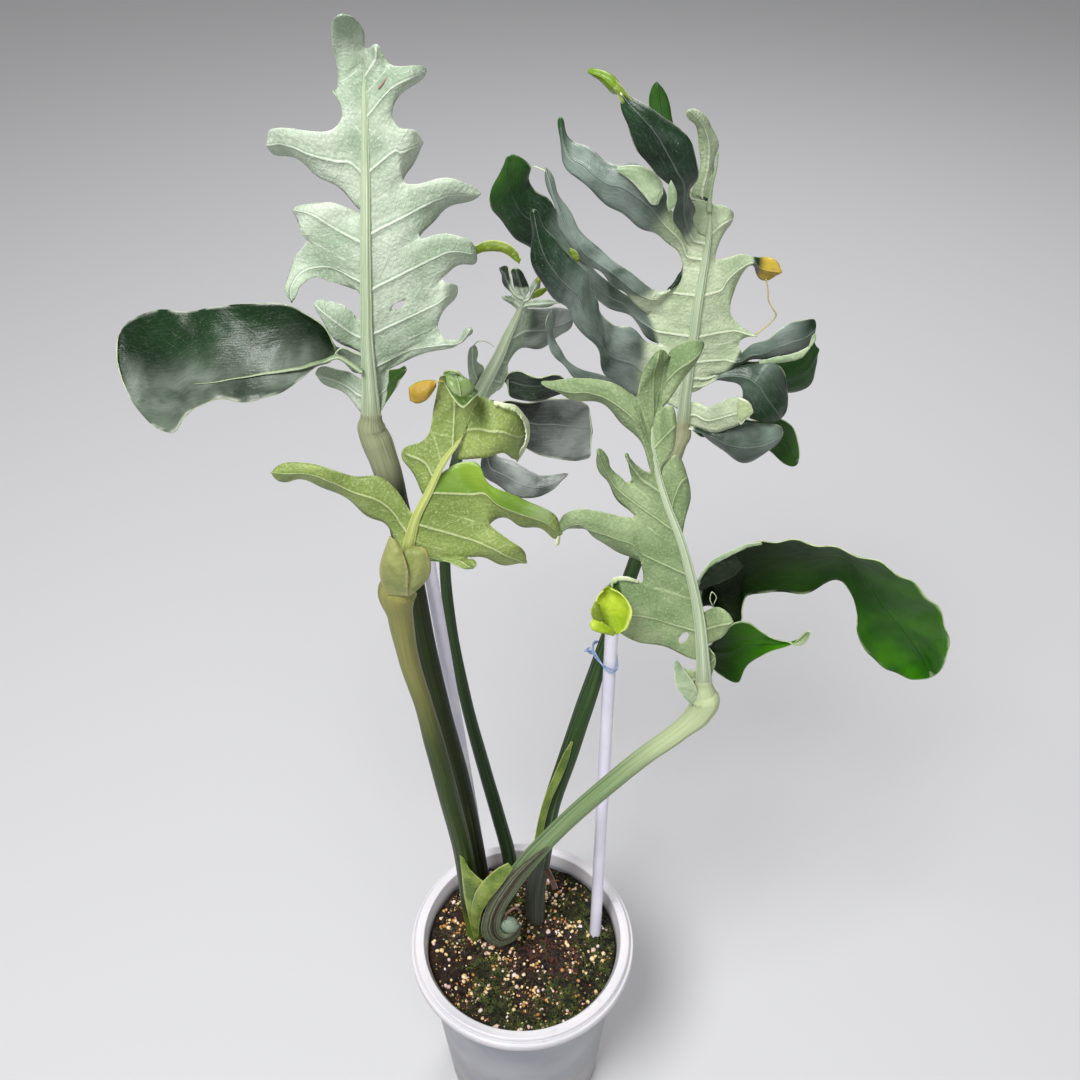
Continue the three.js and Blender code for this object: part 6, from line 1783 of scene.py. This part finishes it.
def build_grit(name, count, seed, sizes, *finish):
    draw = random.Random(seed)

    def add_grain(few, place):
        x, y = place
        radius = draw.uniform(*sizes) * draw.uniform(0.6, 1)
        height = crumbled(x, y) + radius * draw.uniform(0.0, 0.5)
        turn = turned_twice(draw.uniform(0, 6), draw.uniform(0, 3))
        size = [radius * MM, radius * draw.uniform(0.6, 1) * MM, radius * draw.uniform(0.6, 1) * MM, 1]
        matrix = Matrix.Translation(Vector((x, y, height)) * MM) @ turn @ Matrix.Diagonal(size)
        bmesh.ops.create_uvsphere(few, u_segments=7, v_segments=5, radius=1, matrix=matrix)

    bm = bmesh.new()
    scatter(bm, scattered(count, draw, 3, gritty), add_grain)
    finished(name, bm, [plain_finish(name, *finish)], "soil")


def build_crumbs(name, count, seed, sizes, share, *finish):
    draw = random.Random(seed)

    def add_crumb(few, place):
        x, y = place
        size = draw.uniform(*sizes)
        turn = turned_twice(draw.uniform(0, 6), draw.uniform(-1, 1))
        flat = (size * MM, size * draw.uniform(0.4, 1) * MM, size * draw.uniform(0.3, 0.7) * MM, 1)
        matrix = Matrix.Translation(Vector((x, y, crumbled(x, y) + 0.2 * size)) * MM)
        matrix = matrix @ turn @ Matrix.Diagonal(flat)
        bmesh.ops.create_icosphere(few, subdivisions=1, radius=1, matrix=matrix)

    bm = bmesh.new()
    scatter(bm, scattered(count, draw, 2, share), add_crumb)
    finished(name, bm, [plain_finish(*finish)], "soil", smooth=False)


def build_moss():
    draw = random.Random(8)

    def add_tuft(few, place):
        x, y = place
        length, width = draw.uniform(1.4, 3.0), draw.uniform(0.5, 1.0)
        lean = turned_twice(draw.uniform(0, 6.28), draw.uniform(0.1, 1.2))
        matrix = Matrix.Translation(Vector((x, y, crumbled(x, y) + length * 0.35)) * MM) @ lean
        bmesh.ops.create_cone(
            few, segments=4, radius1=width * MM, radius2=width * 0.25 * MM, depth=length * MM,
            cap_ends=True, matrix=matrix,
        )

    bm = bmesh.new()
    scatter(bm, scattered(5200, draw, 1.5, mossy), add_tuft)
    green = plain_finish("moss_green", (24, 32, 12), (84, 94, 36), 150, 0.85, 0.2)
    finished("soil_moss", bm, [green], "soil")


# What lies on the soil: name, count, seed, sizes in mm, where it lies, and the numbers of its finish.
CRUMBS = [
    ("soil_bark", 2600, 5, (0.6, 1.9), anywhere, "bark_crumbs", (22, 16, 12), (62, 42, 30), 60, 0.85, 0.4),
    ("soil_rust", 420, 7, (0.6, 2.0), rusty, "rusty_bark", (40, 18, 14), (84, 42, 32), 90, 0.8, 0.4),
    ("soil_peat", 900, 6, (0.4, 1.2), anywhere, "peat_crumbs", (50, 36, 26), (122, 92, 62), 60, 0.85, 0.4),
]
GRIT = [
    ("grit_cream", 360, 21, (0.8, 2.2), (222, 190, 132), (238, 220, 182), 200, 0.7),
    ("grit_rose", 230, 22, (0.7, 2.1), (210, 168, 152), (234, 222, 220), 200, 0.7),
    ("grit_amber", 480, 23, (0.5, 1.6), (176, 116, 56), (216, 160, 92), 200, 0.7),
    ("grit_olive", 620, 24, (0.4, 1.4), (104, 100, 46), (158, 150, 88), 200, 0.75),
]


# ---- stage ---------------------------------------------------------------------------------------


def build_camera():
    data = bpy.data.cameras.new("camera")
    data.sensor_width = 36
    data.lens = data.sensor_width * FOCAL / SHEET
    data.clip_start, data.clip_end = 0.01, 50
    camera = new_object("camera", data)
    camera.location = EYE * MM
    camera.rotation_euler = (math.pi / 2 - PITCH, 0, 0)
    bpy.context.scene.camera = camera


def area_light(name, place, target, size, power):
    data = bpy.data.lights.new(name, "AREA")
    data.shape, data.size, data.energy = "DISK", size, power
    light = new_object(name, data)
    light.location = place
    light.rotation_euler = (Vector(target) - Vector(place)).to_track_quat("-Z", "Y").to_euler()


def build_stage():
    """A pale floor, a soft white sky and three large lamps."""
    bm = bmesh.new()
    bmesh.ops.create_grid(bm, x_segments=1, y_segments=1, size=8)
    floor = new_object("floor", new_mesh("floor", bm))
    floor.location.z = -0.0003
    floor.data.materials.append(Finish("floor", 0.8).done((196, 196, 198)))
    world = bpy.data.worlds.new("studio")
    world.use_nodes = True
    sky = world.node_tree.nodes["Background"]
    sky.inputs["Color"].default_value = (1, 1, 1, 1)
    sky.inputs["Strength"].default_value = 0.3
    bpy.context.scene.world = world
    area_light("key", (-0.55, -0.75, 2.1), (0, 0, 0.4), 0.8, 46)
    area_light("front", (0.7, -1.9, 1.2), (0, 0, 0.4), 1.2, 10)
    area_light("back", (0.4, 1.4, 1.7), (0, 0, 0.5), 0.9, 16)
    bpy.context.scene.view_settings.view_transform = "Standard"


# ---- the plant in its pot ------------------------------------------------------------------------

build_camera()
build_stage()

BLADES = {leaf["name"]: Blade(leaf) for leaf in LEAVES}
for blade in BLADES.values():
    blade.build()
    blade.build_midrib()
for petiole in PETIOLES:
    build_petiole(petiole, BLADES[petiole["leaf"]])

stake_coating = plain_finish("stake_coating", (214, 210, 228), (228, 226, 236), 30, 0.35, 0.1)
for stake in STAKES:
    build_stake(stake, stake_coating)
build_tie(STAKES[1], PETIOLES[3])
for scrap in SCRAPS:
    build_scrap(*scrap)
for thread in THREADS:
    build_thread(*thread)
build_knuckle()
build_pot()
build_soil()
for crumbs in CRUMBS:
    build_crumbs(*crumbs)
for grit in GRIT:
    build_grit(*grit)
build_moss()

# The buried stem keeps its plain solid, in a skin of its own.
stem = bpy.data.objects["stem"].data.materials
stem.clear()
stem.append(plain_finish("buried_stem_skin", (60, 66, 40), (104, 112, 70), 120, 0.6, 0.4))
